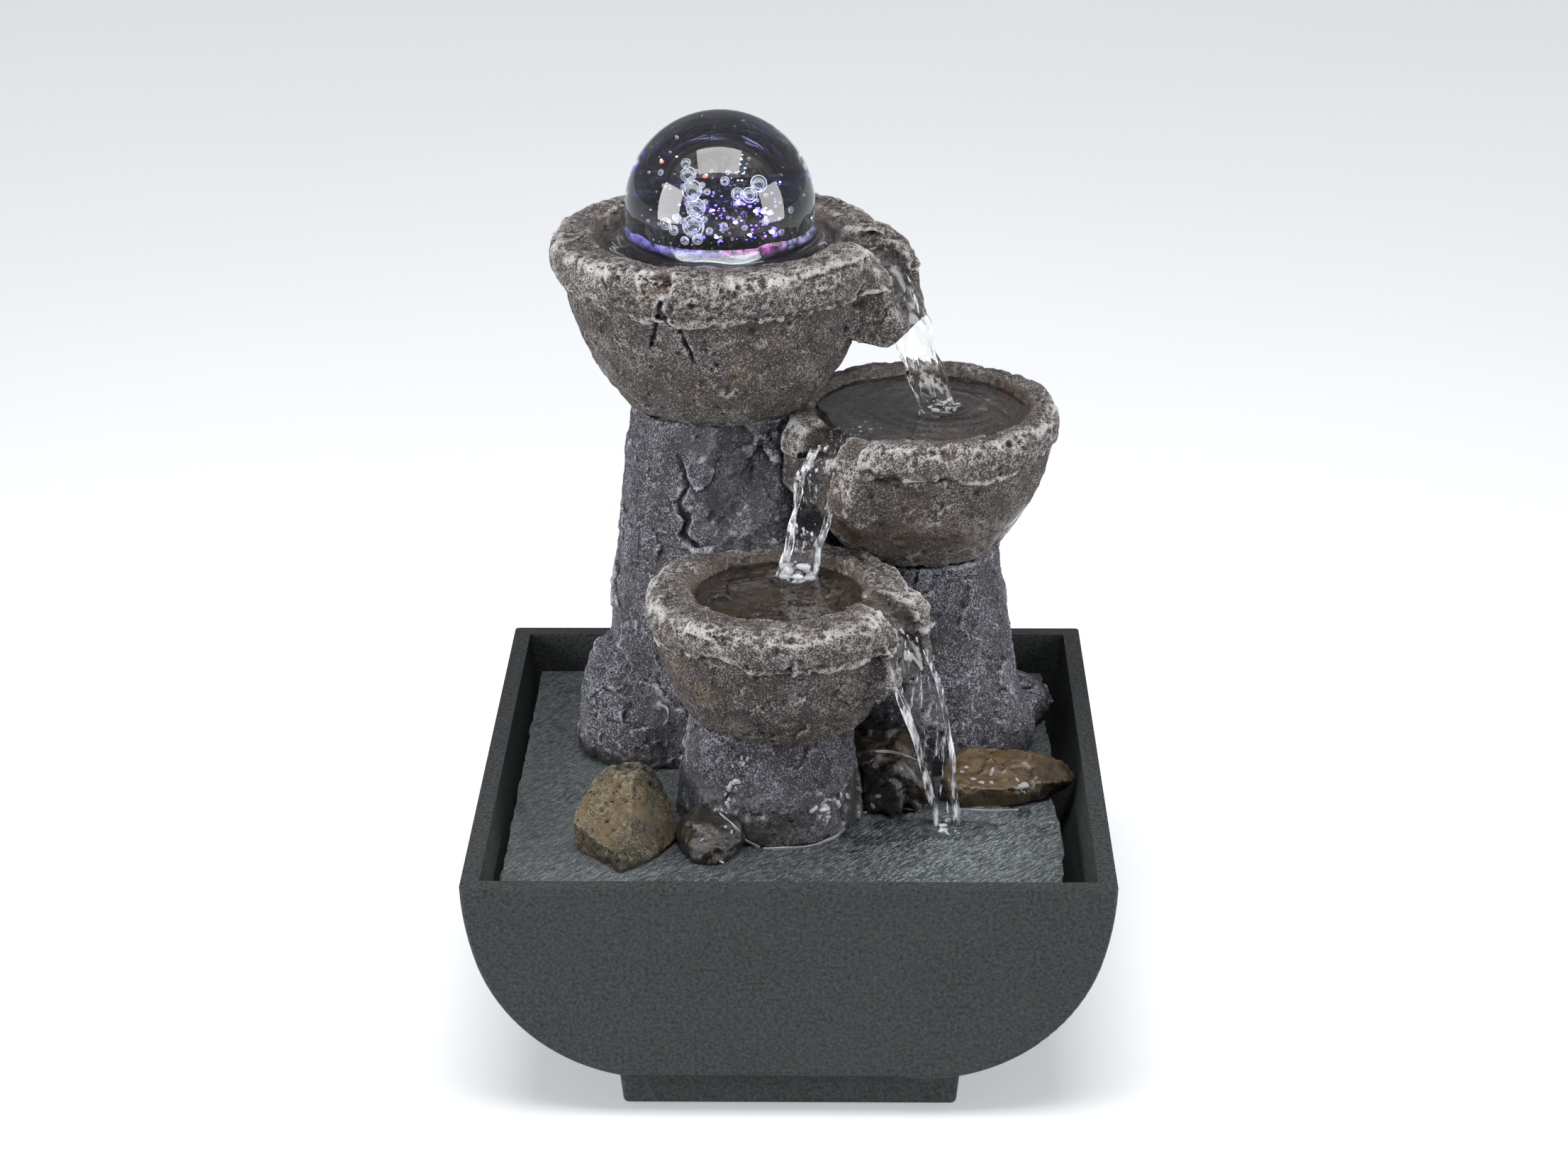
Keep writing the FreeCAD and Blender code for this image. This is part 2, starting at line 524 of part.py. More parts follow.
def castings():
    """Columns, bowls and stones, each cut to the ones that it is glued against."""
    base = DECK_TOP
    tall = column(UPPER["axis"][0], UPPER["axis"][1],
                  [(29.6, base), (30.0, 70), (29.7, 90), (27.4, 115), (25.2, 133), (23.2, 149.4)])
    rocky_foot = lump([(base, -32.5, 26, 25, 17, 12, 0.4), (62, -33, 26, 25.2, 17.5, 10, 0.9),
                       (70, -31.5, 27.5, 24.2, 17.5, 7, 1.6), (77, -30, 30, 23.5, 17, 0, 2.2),
                       (82, -28.5, 32, 20.5, 14, 0, 2.6)])
    broken_face = lump([(121, -11, 6, 8, 4, 0, 0.5), (126, -9.5, 7, 15, 7.5, 3, 1.0),
                        (136, -8.5, 8, 18, 9, 8, 1.7), (150, -6, 10, 17, 8, 12, 2.2)], 0.1)
    tall = tall.fuse(rocky_foot).cut(broken_face)
    tall = largest(tall.cut(rod(*WATER_AXIS, base - 1, BORE_R, 100)))

    upper = bowl(UPPER)
    upper = upper.cut(rod(*WATER_AXIS, LAMP_PIT[0], LAMP_PIT[1], BASIN_FLOOR - LAMP_PIT[0] + 1))
    upper = upper.cut(rod(*WATER_AXIS, 140, BORE_R, 40))

    middle_col = column(34.5, 28.0, [(24.5, base), (25.0, 72), (23.3, 87), (21.8, 98), (20.0, 111.5)])
    right_foot = lump([(base, 36.5, 24, 24.3, 20, 0, 1.1), (63, 36.5, 24.5, 25, 20, 0, 1.5),
                       (69, 36, 25.5, 24.3, 19.5, 0, 2.0), (75, 35.5, 27, 22.5, 18.5, 0, 2.4)])
    middle_col = middle_col.fuse(right_foot).cut(tall)
    middle = bowl(MIDDLE, (tall, middle_col, upper))

    lower_col = column(-5.5, -14.0, [(24.5, base), (23.6, 61), (22.0, 71), (20.0, 82)])
    lower_col = lower_col.cut(tall).cut(middle_col)
    lower = bowl(LOWER, (tall, middle_col, lower_col, middle))

    centre_stone = lump([(base, 22, -8, 14.5, 13, -30, 0.7), (61, 21.5, -7, 14.5, 12.5, -30, 1.3),
                         (68, 20, -5, 11.5, 9.5, -25, 1.8), (71.5, 19, -4, 7.5, 6.5, -20, 2.4)])
    brown_stone = lump([(base, 54.5, -5.5, 16.5, 9.5, 10, 0.3), (58, 55, -5.5, 17, 10, 10, 0.8),
                        (62.5, 54, -4.5, 14.5, 7.5, 10, 1.3), (64.5, 53, -3.5, 9, 4.5, 10, 1.9)])
    grey_stone = lump([(base, 57, 44, 11.5, 14, 20, 0.6), (59, 57, 44, 11.8, 14, 20, 1.0),
                       (63.5, 56.5, 44, 8, 10, 20, 1.7)])
    olive_stone = lump([(base, -42.3, -36, 11, 19.5, -14, 0.5), (60, -42.5, -35, 11.5, 18.5, -16, 0.9),
                        (66, -42, -31.5, 9.8, 13.5, -20, 1.4), (70, -41.3, -28, 6.3, 8, -22, 2.0)])
    small_stone = lump([(base, -20.3, -37, 8.6, 10.5, 18, 0.2), (58.5, -20.3, -37, 8.4, 10, 18, 0.8),
                        (62.5, -20.3, -35, 5.5, 7, 18, 1.4)])

    stones = {}
    placed = [tall, middle_col, lower_col]
    for name, shape in (("centre_stone", centre_stone), ("brown_stone", brown_stone),
                        ("grey_stone", grey_stone), ("olive_stone", olive_stone),
                        ("small_stone", small_stone)):
        for other in placed:
            shape = shape.cut(other)
        stones[name] = largest(shape)
        placed.append(shape)
    return {"tall_column": tall, "upper_bowl": upper, "middle_column": largest(middle_col),
            "middle_bowl": largest(middle), "lower_column": largest(lower_col),
            "lower_bowl": largest(lower), **stones}


def slate_deck():
    """A slate plate with hand-broken edges and a hole for the hose and the lamp plug."""
    steps = 9
    pts = []
    (x0, x1), (y0, y1) = DECK_X, DECK_Y
    for i in range(steps):
        pts.append((x0 + (x1 - x0) * i / steps, y0 + 0.7 * math.sin(2.3 * i)))
    for i in range(steps):
        pts.append((x1 - 0.7 - 0.7 * math.sin(1.9 * i), y0 + (y1 - y0) * i / steps))
    for i in range(steps):
        pts.append((x1 - (x1 - x0) * i / steps, y1 - 0.7 * abs(math.sin(2.7 * i))))
    for i in range(steps):
        pts.append((x0 + 0.7 + 0.7 * math.sin(3.1 * i), y1 - (y1 - y0) * i / steps))
    outline = closed_wire([(x, y, DECK_Z[0]) for x, y in pts])
    plate = Part.Face(outline).extrude(V(0, 0, DECK_Z[1] - DECK_Z[0]))
    return plate.cut(rod(*WATER_AXIS, DECK_Z[0] - 1, BORE_R + 3.5, 10))


# ---------------------------------------------------------------- water feed, seat and lamps
def ball_seat():
    """A clear dish: a skirt on the bowl's floor, a seat shaped to the ball and a nozzle."""
    r_film = BALL_R + FILM
    skirt_r, skirt_wall = 19.0, 1.8
    dish_r = 17.2
    z_edge = BALL_Z - math.sqrt(r_film ** 2 - dish_r ** 2)
    body = rod(*WATER_AXIS, BASIN_FLOOR, skirt_r, z_edge - BASIN_FLOOR)
    body = body.cut(rod(*WATER_AXIS, BASIN_FLOOR - 1, skirt_r - skirt_wall, 5.5))
    under = Part.makeCone(6.5, dish_r, z_edge - 2.2 - (BASIN_FLOOR + 4.5),
                          V(*WATER_AXIS, BASIN_FLOOR + 4.5))
    body = body.cut(Part.makeSphere(r_film, V(*WATER_AXIS, BALL_Z)))
    hollow = rod(*WATER_AXIS, BASIN_FLOOR + 4.4, dish_r, z_edge - BASIN_FLOOR).cut(under)
    body = body.cut(hollow.cut(Part.makeSphere(r_film + 2.2, V(*WATER_AXIS, BALL_Z))))
    nozzle = rod(*WATER_AXIS, 158.0, HOSE_BORE, 20)
    body = body.fuse(nozzle.cut(Part.makeSphere(r_film, V(*WATER_AXIS, BALL_Z))))
    body = body.cut(rod(*WATER_AXIS, 157, SPIGOT_BORE, 30))
    return largest(body.removeSplitter())


def lamp_parts():
    z0, r_out = LAMP_PIT[0], LAMP_PIT[1] - 0.4
    r_in = HOSE_R + 0.4
    z1 = z0 + 5.0
    x, y = WATER_AXIS
    housing = tube(x, y, z0, r_out, r_in, z1 - z0)
    board_z = z0 + 1.6
    housing = housing.cut(tube(x, y, board_z, r_out - 1.5, r_in + 1.2, 10))
    board = tube(x, y, board_z, r_out - 1.5, r_in + 1.2, 1.2)
    lead_y = PLUG_Y
    housing = housing.cut(rod(x, lead_y, z0 - 1, LEAD_R, 3))
    lamp_r, circle = 2.3, 11.2
    lamps = []
    for i in range(LAMP_COUNT):
        a = math.radians(45 + 360 * i / LAMP_COUNT)
        lx, ly = x + circle * math.cos(a), y + circle * math.sin(a)
        stem = rod(lx, ly, board_z + 1.2, lamp_r, 1.8)
        dome = Part.makeSphere(lamp_r, V(lx, ly, board_z + 3.0))
        lamps.append(stem.fuse(dome.common(rod(lx, ly, board_z + 2, lamp_r + 1, 5))).removeSplitter())
    cover = tube(x, y, z1, r_out, r_in, 1.6)
    for i in range(LAMP_COUNT):
        a = math.radians(45 + 360 * i / LAMP_COUNT)
        cover = cover.cut(Part.makeSphere(lamp_r + 0.3, V(x + circle * math.cos(a),
                                                          y + circle * math.sin(a), board_z + 3.0)))
    lead = route([(x, lead_y, 58), (x - 0.9, lead_y - 0.5, 80), (x + 0.8, lead_y - 0.3, 103),
                  (x - 0.7, lead_y - 0.5, 126), (x + 0.4, lead_y - 0.2, 147), (x, lead_y, board_z)],
                 LEAD_R)
    top = PUMP_Z + PUMP_H / 2
    plug = rod(x, lead_y, top + 0.6, 2.45 - RUN, 4.6).fuse(rod(x, lead_y, top + 5.2, 3.2, 5.4))
    plug = plug.fuse(Part.makeCone(2.6, 1.6, 58 - (top + 10.6), V(x, lead_y, top + 10.6)))
    hose = tube(x, y, 45.5, HOSE_R, HOSE_BORE, LAMP_PIT[0] + 3.5 - 45.5)
    return {"lamp_housing": housing, "lamp_board": board, "lamps": Part.makeCompound(lamps),
            "lamp_cover": cover, "lamp_lead": lead, "lamp_plug": plug, "riser_hose": hose}


# ---------------------------------------------------------------- assembly
def build():
    parts = {"base_tub": base_tub(), "rubber_feet": feet()}
    parts.update(inlet_parts())
    parts.update(pump_parts())
    parts.update(rotor_parts())
    parts["flow_regulator"] = regulator()
    parts["slate_deck"] = slate_deck()
    parts.update(castings())
    parts["ball_seat"] = ball_seat()
    parts.update(lamp_parts())
    parts["glass_ball"] = Part.makeSphere(BALL_R, V(*WATER_AXIS, BALL_Z))
    return parts


os.makedirs("parts", exist_ok=True)
for node, shape in build().items():
    if not shape.isValid() or not shape.Solids:
        print("INVALID", node)
    print(f"{node:18s} solids {len(shape.Solids)}  volume {shape.Volume / 1000:8.2f} cm3")
    shape.exportStep(f"parts/{node}.step")
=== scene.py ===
"""Looks of the tabletop water fountain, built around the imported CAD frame.

The stone castings, the slate deck and the loose stones are remeshed, broken and pitted in mesh code.
Water, the crystal ball and its bubbles are added, and every surface gets a material made of nodes.
"""
import itertools
import json
import math

import bmesh
import bpy
import numpy as np
from mathutils import Matrix, Vector
from numpy.linalg import norm

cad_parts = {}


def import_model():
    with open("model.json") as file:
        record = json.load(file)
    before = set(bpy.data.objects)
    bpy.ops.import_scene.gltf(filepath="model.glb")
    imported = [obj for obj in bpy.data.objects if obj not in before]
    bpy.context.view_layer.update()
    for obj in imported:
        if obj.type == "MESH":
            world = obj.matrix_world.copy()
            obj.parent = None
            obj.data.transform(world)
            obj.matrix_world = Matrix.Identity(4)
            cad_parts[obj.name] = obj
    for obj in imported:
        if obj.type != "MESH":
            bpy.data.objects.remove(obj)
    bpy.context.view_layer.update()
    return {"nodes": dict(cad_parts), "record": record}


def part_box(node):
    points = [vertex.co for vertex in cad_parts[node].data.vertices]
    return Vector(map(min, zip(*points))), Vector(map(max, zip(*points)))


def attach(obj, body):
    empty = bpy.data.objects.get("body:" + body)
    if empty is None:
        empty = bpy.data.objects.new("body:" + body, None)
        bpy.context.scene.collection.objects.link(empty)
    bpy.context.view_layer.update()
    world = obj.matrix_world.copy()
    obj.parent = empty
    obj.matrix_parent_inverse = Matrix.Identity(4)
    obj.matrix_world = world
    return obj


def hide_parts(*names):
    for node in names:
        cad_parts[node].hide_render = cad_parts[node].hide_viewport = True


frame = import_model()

MM = 0.001
scene = bpy.context.scene


# -------------------- places taken from the frame
def node_box(node):
    """Lowest and highest corner of a CAD node, in millimetres."""
    low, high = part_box(node)
    return np.array(low) / MM, np.array(high) / MM


ball_low, ball_high = node_box("glass_ball")
BALL = (ball_low + ball_high) / 2
BALL_R = (ball_high[2] - ball_low[2]) / 2
DECK_TOP = node_box("slate_deck")[1][2]

# Water levels, the centre of each basin and where the streams land, in millimetres.
UPPER_LEVEL = 192.3
MIDDLE_LEVEL = 148.4
LOWER_LEVEL = 113.6
UPPER_CENTRE = np.array((-19, 35.4))
MIDDLE_CENTRE = np.array((33.5, 28))
LOWER_CENTRE = np.array((-3.2, -13.6))
MIDDLE_LANDING = (39.7, 30.2)
LOWER_LANDING = (1.1, -3)
WATER_IOR, GLASS_IOR = 1.333, 1.52


# -------------------- noise
def hash01(cells, seed):
    """A repeatable number from 0 to 1 for each lattice cell."""
    i, j, k = cells.T
    mask = np.int64(0xFFFFFFFF)
    h = (i * 0x8DA6B343 + j * 0xD8163841 + k * 0xCB1AB31F + seed * 0x165667B1) & mask
    h ^= h >> 15
    h = (h * 0x2C1B3C6D) & mask
    h ^= h >> 12
    h = (h * 0x297A2D39) & mask
    h ^= h >> 15
    return h / float(0xFFFFFFFF)


def noise(points, size, seed):
    """Smooth noise from -1 to 1 whose bumps are about size across."""
    p = points / size
    cell = np.floor(p).astype(np.int64)
    f = p - cell
    f = f * f * f * (f * (f * 6 - 15) + 10)
    total = np.zeros(len(points))
    for d in itertools.product((0, 1), repeat=3):
        weight = np.prod([f[:, a] if d[a] else 1 - f[:, a] for a in range(3)], axis=0)
        total += weight * hash01(cell + d, seed)
    return total * 2 - 1


def fractal(points, size, seed, octaves=3):
    """Noise with finer noise of half the strength added at each octave."""
    total = np.zeros(len(points))
    for n in range(octaves):
        total += noise(points + 17.3 * n, size / 2 ** n, seed + n) / 2 ** n
    return total / (2 - 2 ** (1 - octaves))


def pits(points, size, seed, share=0.6):
    """Round hollows scattered in space: 1 at a hollow's middle, 0 outside it."""
    p = points / size
    cell = np.floor(p).astype(np.int64)
    best = np.zeros(len(points))
    for d in itertools.product((-1, 0, 1), repeat=3):
        c = cell + d
        at = [c[:, a] + hash01(c, seed + 7 * a) for a in range(3)]
        gap = sum((p[:, a] - at[a]) ** 2 for a in range(3))
        reach = 0.25 + 0.45 * hash01(c, seed + 31)
        there = hash01(c, seed + 53) < share
        best = np.maximum(best, np.where(there, 1 - gap / reach ** 2, 0))
    return best


def facets(points, size, seed):
    """Flat facets tilted at random, like broken stone: from about -0.7 to 0.7 in each facet."""
    p = points / size
    cell = np.floor(p).astype(np.int64)
    nearest, height = np.full(len(p), 9.0), np.zeros(len(p))
    for d in itertools.product((-1, 0, 1), repeat=3):
        c = cell + d
        gap = [p[:, a] - c[:, a] - hash01(c, seed + 7 * a) for a in range(3)]
        far = sum(g * g for g in gap)
        tilt = [2 * hash01(c, seed + 61 + 5 * a) - 1 for a in range(3)]
        closer = far < nearest
        height = np.where(closer, sum(g * t for g, t in zip(gap, tilt)), height)
        nearest = np.where(closer, far, nearest)
    return height


def smoothstep(low, high, x):
    t = np.clip((x - low) / (high - low), 0, 1)
    return t * t * (3 - 2 * t)


def near_spots(points, spots):
    """1 in the middle of each (centre, radius) spot, fading to 0 at its edge."""
    best = np.zeros(len(points))
    ragged = 0.3 * noise(points, 3.5, 5)
    for centre, radius in spots:
        gap = norm(points - np.array(centre), axis=1) / radius + ragged
        best = np.maximum(best, 1 - smoothstep(0.45, 1, gap))
    return best


def near_line(points, line):
    """Distance from each point to a line through a few points."""
    best = np.full(len(points), 1e9)
    for a, b in zip(line, line[1:]):
        a, b = np.array(a, float), np.array(b, float)
        along = np.clip((points - a) @ (b - a) / ((b - a) @ (b - a)), 0, 1)
        best = np.minimum(best, norm(points - a - along[:, None] * (b - a), axis=1))
    return best


# -------------------- meshes as arrays
class Surface:
    """A mesh whose points are moved and coloured as arrays, in millimetres."""

    def __init__(self, mesh):
        self.mesh = mesh
        count = len(mesh.vertices)
        co = np.empty(count * 3)
        mesh.vertices.foreach_get("co", co)
        self.p = co.reshape(-1, 3) / MM
        edges = np.empty(len(mesh.edges) * 2, np.int64)
        mesh.edges.foreach_get("vertices", edges)
        self.edges = edges.reshape(-1, 2)
        self.links = np.bincount(self.edges.ravel(), minlength=count).clip(1)

    def write(self):
        self.mesh.vertices.foreach_set("co", (self.p * MM).ravel())
        self.mesh.update()

    def normals(self):
        self.write()
        n = np.empty(len(self.p) * 3)
        self.mesh.vertex_normals.foreach_get("vector", n)
        return n.reshape(-1, 3)

    def push(self, amount):
        """Moves each point along its normal by its own amount in millimetres."""
        self.p = self.p + self.normals() * amount[:, None]

    def spread(self, values, times=1):
        """Each value averaged with its neighbours' values."""
        values = values.astype(float)
        a, b = self.edges[:, 0], self.edges[:, 1]
        for _ in range(times):
            flat = values.reshape(len(self.p), -1)
            out = np.empty_like(flat)
            for c in range(flat.shape[1]):
                out[:, c] = (np.bincount(a, flat[b, c], len(self.p))
                             + np.bincount(b, flat[a, c], len(self.p)))
            out /= self.links[:, None]
            values = (0.5 * flat + 0.5 * out).reshape(values.shape)
        return values

    def bulge(self, times):
        """How far each point stands out of its surroundings, in millimetres."""
        return ((self.p - self.spread(self.p, times)) * self.normals()).sum(1)

    def paint(self, name, values):
        layer = self.mesh.attributes.new(name, "FLOAT", "POINT")
        layer.data.foreach_set("value", np.clip(values, 0, 1).astype(np.float32))


def placed(name, data):
    """A new object in the scene."""
    obj = bpy.data.objects.new(name, data)
    scene.collection.objects.link(obj)
    return obj


def mesh_from(bm, name):
    """A new mesh from a bmesh, which is freed."""
    mesh = bpy.data.meshes.new(name)
    bm.to_mesh(mesh)
    bm.free()
    return mesh


def sphere(bm, detail, radius, place, *shape):
    """Adds a sphere to a bmesh, in millimetres, and returns its points. shape may stretch and turn it."""
    at = Matrix.Translation(Vector(np.array(place) * MM))
    for step in shape:
        at = at @ step
    return bmesh.ops.create_icosphere(bm, subdivisions=detail, radius=radius * MM, matrix=at)["verts"]


def new_object(name, mesh, body, material):
    """A piece of the visual model, with smooth faces and one material."""
    obj = placed(name, mesh)
    mesh.materials.clear()
    mesh.materials.append(material)
    mesh.polygons.foreach_set("use_smooth", np.ones(len(mesh.polygons), bool))
    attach(obj, body)
    return obj


def remeshed(node, voxel, smoothing=3):
    """A CAD node's solid as an even, fine mesh with softened edges."""
    bm = bmesh.new()
    bm.from_mesh(frame["nodes"][node].data)
    bmesh.ops.remove_doubles(bm, verts=bm.verts, dist=1e-6)
    obj = placed("even", mesh_from(bm, node + "_even"))
    even = obj.modifiers.new("even", "REMESH")
    even.mode = "VOXEL"
    even.voxel_size = voxel * MM
    soft = obj.modifiers.new("soft", "SMOOTH")
    soft.factor, soft.iterations = 0.5, smoothing
    graph = bpy.context.evaluated_depsgraph_get()
    mesh = bpy.data.meshes.new_from_object(obj.evaluated_get(graph), depsgraph=graph)
    bpy.data.objects.remove(obj)
    return Surface(mesh)


# -------------------- materials
class Nodes:
    """Builds a material's nodes in few words."""

    def __init__(self, name):
        self.material = bpy.data.materials.new(name)
        self.material.use_nodes = True
        self.tree = self.material.node_tree
        self.shader = self.tree.nodes["Principled BSDF"]
        self.place = self.add("ShaderNodeTexCoord").outputs["Object"]

    def add(self, kind, **settings):
        node = self.tree.nodes.new(kind)
        for key, value in settings.items():
            setattr(node, key, value)
        return node

    def join(self, source, target):
        self.tree.links.new(source, target)

    def feed(self, socket, value):
        """Gives a socket a number, a colour or another node's output."""
        if isinstance(value, bpy.types.NodeSocket):
            self.join(value, socket)
        else:
            socket.default_value = value

    def noise(self, size, detail=3, roughness=0.55, stretch=(1, 1, 1), seed=0, turn=0):
        """Noise whose bumps are about size millimetres across."""
        mapping = self.add("ShaderNodeMapping", vector_type="TEXTURE")
        self.join(self.place, mapping.inputs["Vector"])
        mapping.inputs["Scale"].default_value = [1 / c for c in stretch]
        mapping.inputs["Rotation"].default_value = (0, 0, turn)
        mapping.inputs["Location"].default_value = (seed, seed * 0.7, seed * 0.3)
        node = self.add("ShaderNodeTexNoise")
        node.inputs["Scale"].default_value = 1 / (size * MM)
        node.inputs["Detail"].default_value = detail
        node.inputs["Roughness"].default_value = roughness
        self.join(mapping.outputs["Vector"], node.inputs["Vector"])
        return node.outputs["Fac"]

    def cells(self, size, feature="F1"):
        node = self.add("ShaderNodeTexVoronoi", feature=feature)
        node.inputs["Scale"].default_value = 1 / (size * MM)
        self.join(self.place, node.inputs["Vector"])
        return node.outputs["Distance"]

    def attribute(self, name):
        return self.add("ShaderNodeAttribute", attribute_name=name).outputs["Fac"]

    def ramp(self, source, *stops):
        """Maps a number through (position, value) stops to a number or a colour."""
        node = self.add("ShaderNodeValToRGB")
        elements = node.color_ramp.elements
        while len(elements) < len(stops):
            elements.new(0.5)
        for element, (position, value) in zip(elements, stops):
            element.position = position
            element.color = (*value, 1) if isinstance(value, tuple) else (value, value, value, 1)
        self.join(source, node.inputs["Fac"])
        return node.outputs["Color"]

    def rise(self, source, low, high):
        """0 where a number is below low, 1 where it is above high."""
        return self.ramp(source, (low, 0), (high, 1))

    def math(self, operation, a, b=0, clamp=False):
        node = self.add("ShaderNodeMath", operation=operation, use_clamp=clamp)
        self.feed(node.inputs[0], a)
        self.feed(node.inputs[1], b)
        return node.outputs[0]

    def times(self, a, b):
        return self.math("MULTIPLY", a, b)

    def mix(self, fac, a, b, blend="MIX"):
        node = self.add("ShaderNodeMix", data_type="RGBA", blend_type=blend)
        self.feed(node.inputs["Factor"], fac)
        self.feed(node.inputs["A"], (*a, 1) if isinstance(a, tuple) else a)
        self.feed(node.inputs["B"], (*b, 1) if isinstance(b, tuple) else b)
        return node.outputs["Result"]

    def bump(self, height, depth, strength=1, under=None):
        """A bump depth millimetres deep for a height from 0 to 1."""
        node = self.add("ShaderNodeBump")
        self.feed(node.inputs["Strength"], strength)
        node.inputs["Distance"].default_value = depth * MM
        self.join(height, node.inputs["Height"])
        if under is not None:
            self.join(under, node.inputs["Normal"])
        return node.outputs["Normal"]

    def finish(self, **sockets):
        for name, value in sockets.items():
            self.feed(self.shader.inputs[name.replace("_", " ")], value)
        return self.material


def stone(name, dark, mid, fleck, pale, warm, cover=0, warmth=0.35, gloss=0.62, streak=1,
          water=0.8):
    """Stone with a dark wash in its hollows that also paints in their shade, dry-brushed grain, worn pale
    edges, stains and wet parts.

    cover adds pale grain, warmth adds stains, and water is how full the film is where it is wet.
    """
    n = Nodes(name)
    grain = n.noise(0.46, 5, 0.84)
    sand = n.noise(0.34, 3, 0.8, seed=0.77)
    crumb = n.noise(2, 4, 0.66, seed=0.31)
    patch = n.noise(7, 4, 0.62, (1, 1, streak), seed=0.57)
    stain = n.noise(14, 4, 0.62, (1, 1, streak), seed=0.13)
    pore = n.ramp(n.cells(1.7), (0.12, 1), (0.2, 0))
    pore = n.times(pore, n.rise(patch, 0.42, 0.52))
    edge, relief, wet, ochre = (n.attribute(k) for k in ("edge", "relief", "wet", "ochre"))
    base = n.mix(n.rise(n.mix(0.22, sand, crumb), 0.4, 0.6), dark, mid)
    tint = n.times(n.rise(stain, 0.5, 0.64), warmth)
    tint = n.math("MAXIMUM", tint, n.times(ochre, n.ramp(crumb, (0.3, 0.45), (0.6, 0.9))))
    base = n.mix(tint, base, warm)
    brush = n.math("ADD", grain, n.times(edge, 0.17))
    brush = n.math("ADD", brush, n.times(relief, 0.1))
    brush = n.math("ADD", brush, n.times(patch, 0.21))
    brush = n.rise(brush, 0.678 - cover, 0.745 - cover)
    brush = n.times(brush, n.math("SUBTRACT", 1, n.times(wet, 0.7)))
    colour = n.mix(brush, base, n.mix(edge, fleck, pale))
    # Hollows, cracks and pores darken towards a dark wash colour: partly a wash in them, partly painted
    # shade.
    hollow = n.math("MAXIMUM", n.ramp(relief, (0.04, 0.92), (0.3, 0)), n.times(pore, 0.9))
    colour = n.mix(hollow, colour, tuple(c * 0.35 for c in dark))
    colour = n.mix(n.times(wet, 0.7), colour, (0.52, 0.5, 0.47), "MULTIPLY")
    rough = n.math("SUBTRACT", n.ramp(grain, (0.3, gloss + 0.1), (0.7, gloss + 0.3)),
                   n.times(wet, 0.62), clamp=True)
    calm = n.math("SUBTRACT", 1, n.times(wet, 0.72))
    normal = n.bump(grain, 0.75, calm)
    normal = n.bump(crumb, 0.9, calm, normal)
    normal = n.bump(n.math("SUBTRACT", 1, pore), 0.6, calm, normal)
    film = n.times(wet, n.ramp(patch, (0.46, 0), (0.6, water)))
    n.shader.inputs["Coat Roughness"].default_value = 0.04
    return n.finish(Base_Color=colour, Roughness=rough, Normal=normal, Specular_IOR_Level=0.42,
                    Coat_Weight=film)


def plastic(name, colour, size=0.35, depth=0.05, roughness=0.5, spread=0.25, contrast=0.35,
            specular=0.5):
    """Moulded plastic with a fine spark-eroded texture."""
    n = Nodes(name)
    grain = n.noise(size, 4, 0.65)
    cloud = n.noise(24, 3, 0.5, seed=0.2)
    low = tuple(c * (1 - contrast) for c in colour)
    high = tuple(c * (1 + contrast) for c in colour)
    base = n.mix(n.rise(grain, 0.3, 0.7), low, high)
    base = n.mix(n.times(cloud, 0.3), base, high)
    rough = n.ramp(grain, (0.3, roughness - spread / 2), (0.7, roughness + spread / 2))
    return n.finish(Base_Color=base, Roughness=rough, Normal=n.bump(grain, depth),
                    Specular_IOR_Level=specular)


def metal(name, colour, roughness=0.35, size=0.5):
    """Bare metal with a fine drawn grain."""
    n = Nodes(name)
    grain = n.noise(size, 3, 0.6, (1, 1, 0.2))
    rough = n.ramp(grain, (0.3, roughness - 0.1), (0.7, roughness + 0.1))
    return n.finish(Base_Color=(*colour, 1), Metallic=1, Roughness=rough, Normal=n.bump(grain, 0.02))


def glass(name, colour, ior, roughness=0, ripple=0, size=2, clear=1):
    """Glass or water. ripple and size are its bumps' depth and width, clear its clear share."""
    n = Nodes(name)
    if ripple:
        n.finish(Normal=n.bump(n.noise(size, 2, 0.5), ripple))
    return n.finish(Base_Color=(*colour, 1), Transmission_Weight=clear, IOR=ior, Roughness=roughness)


def falling_water(name, first, last):
    """Falling water with white streaks, partly air in it and partly a painted highlight, which start at
    noise first and are full at last.
    """
    n = Nodes(name)
    clear = n.ramp(n.noise(1.3, 3, 0.6, (1, 1, 0.16)), (first, 1), (last, 0.3))
    return n.finish(Base_Color=(0.95, 0.96, 0.98, 1), Transmission_Weight=clear, IOR=WATER_IOR,
                    Roughness=0.03)


def glowing(name, colour, strength):
    """Something lit from inside, with a hazy blue-white body."""
    n = Nodes(name)
    haze = n.noise(0.8, 2, 0.5)
    return n.finish(Base_Color=n.mix(haze, (0.6, 0.7, 1), colour), Roughness=0.25,
                    Emission_Color=(*colour, 1), Emission_Strength=strength)


# -------------------- stone
CAST = stone("cast_stone", (0.015, 0.012, 0.012), (0.072, 0.06, 0.058), (0.43, 0.4, 0.385),
             (0.68, 0.67, 0.65), (0.105, 0.066, 0.038))
COLUMN = stone("column_stone", (0.013, 0.013, 0.017), (0.066, 0.064, 0.074), (0.45, 0.45, 0.52),
               (0.6, 0.61, 0.67), (0.08, 0.06, 0.048), cover=-0.005, streak=0.5)
WET = stone("wet_stone", (0.008, 0.007, 0.006), (0.03, 0.027, 0.023), (0.11, 0.1, 0.09),
            (0.18, 0.18, 0.16), (0.055, 0.032, 0.014), cover=-0.05, gloss=0.42, water=0.4)
BROWN = stone("brown_stone", (0.014, 0.01, 0.006), (0.052, 0.038, 0.022), (0.22, 0.18, 0.12),
              (0.34, 0.3, 0.22), (0.14, 0.088, 0.032), cover=-0.02, warmth=0.4, gloss=0.35)
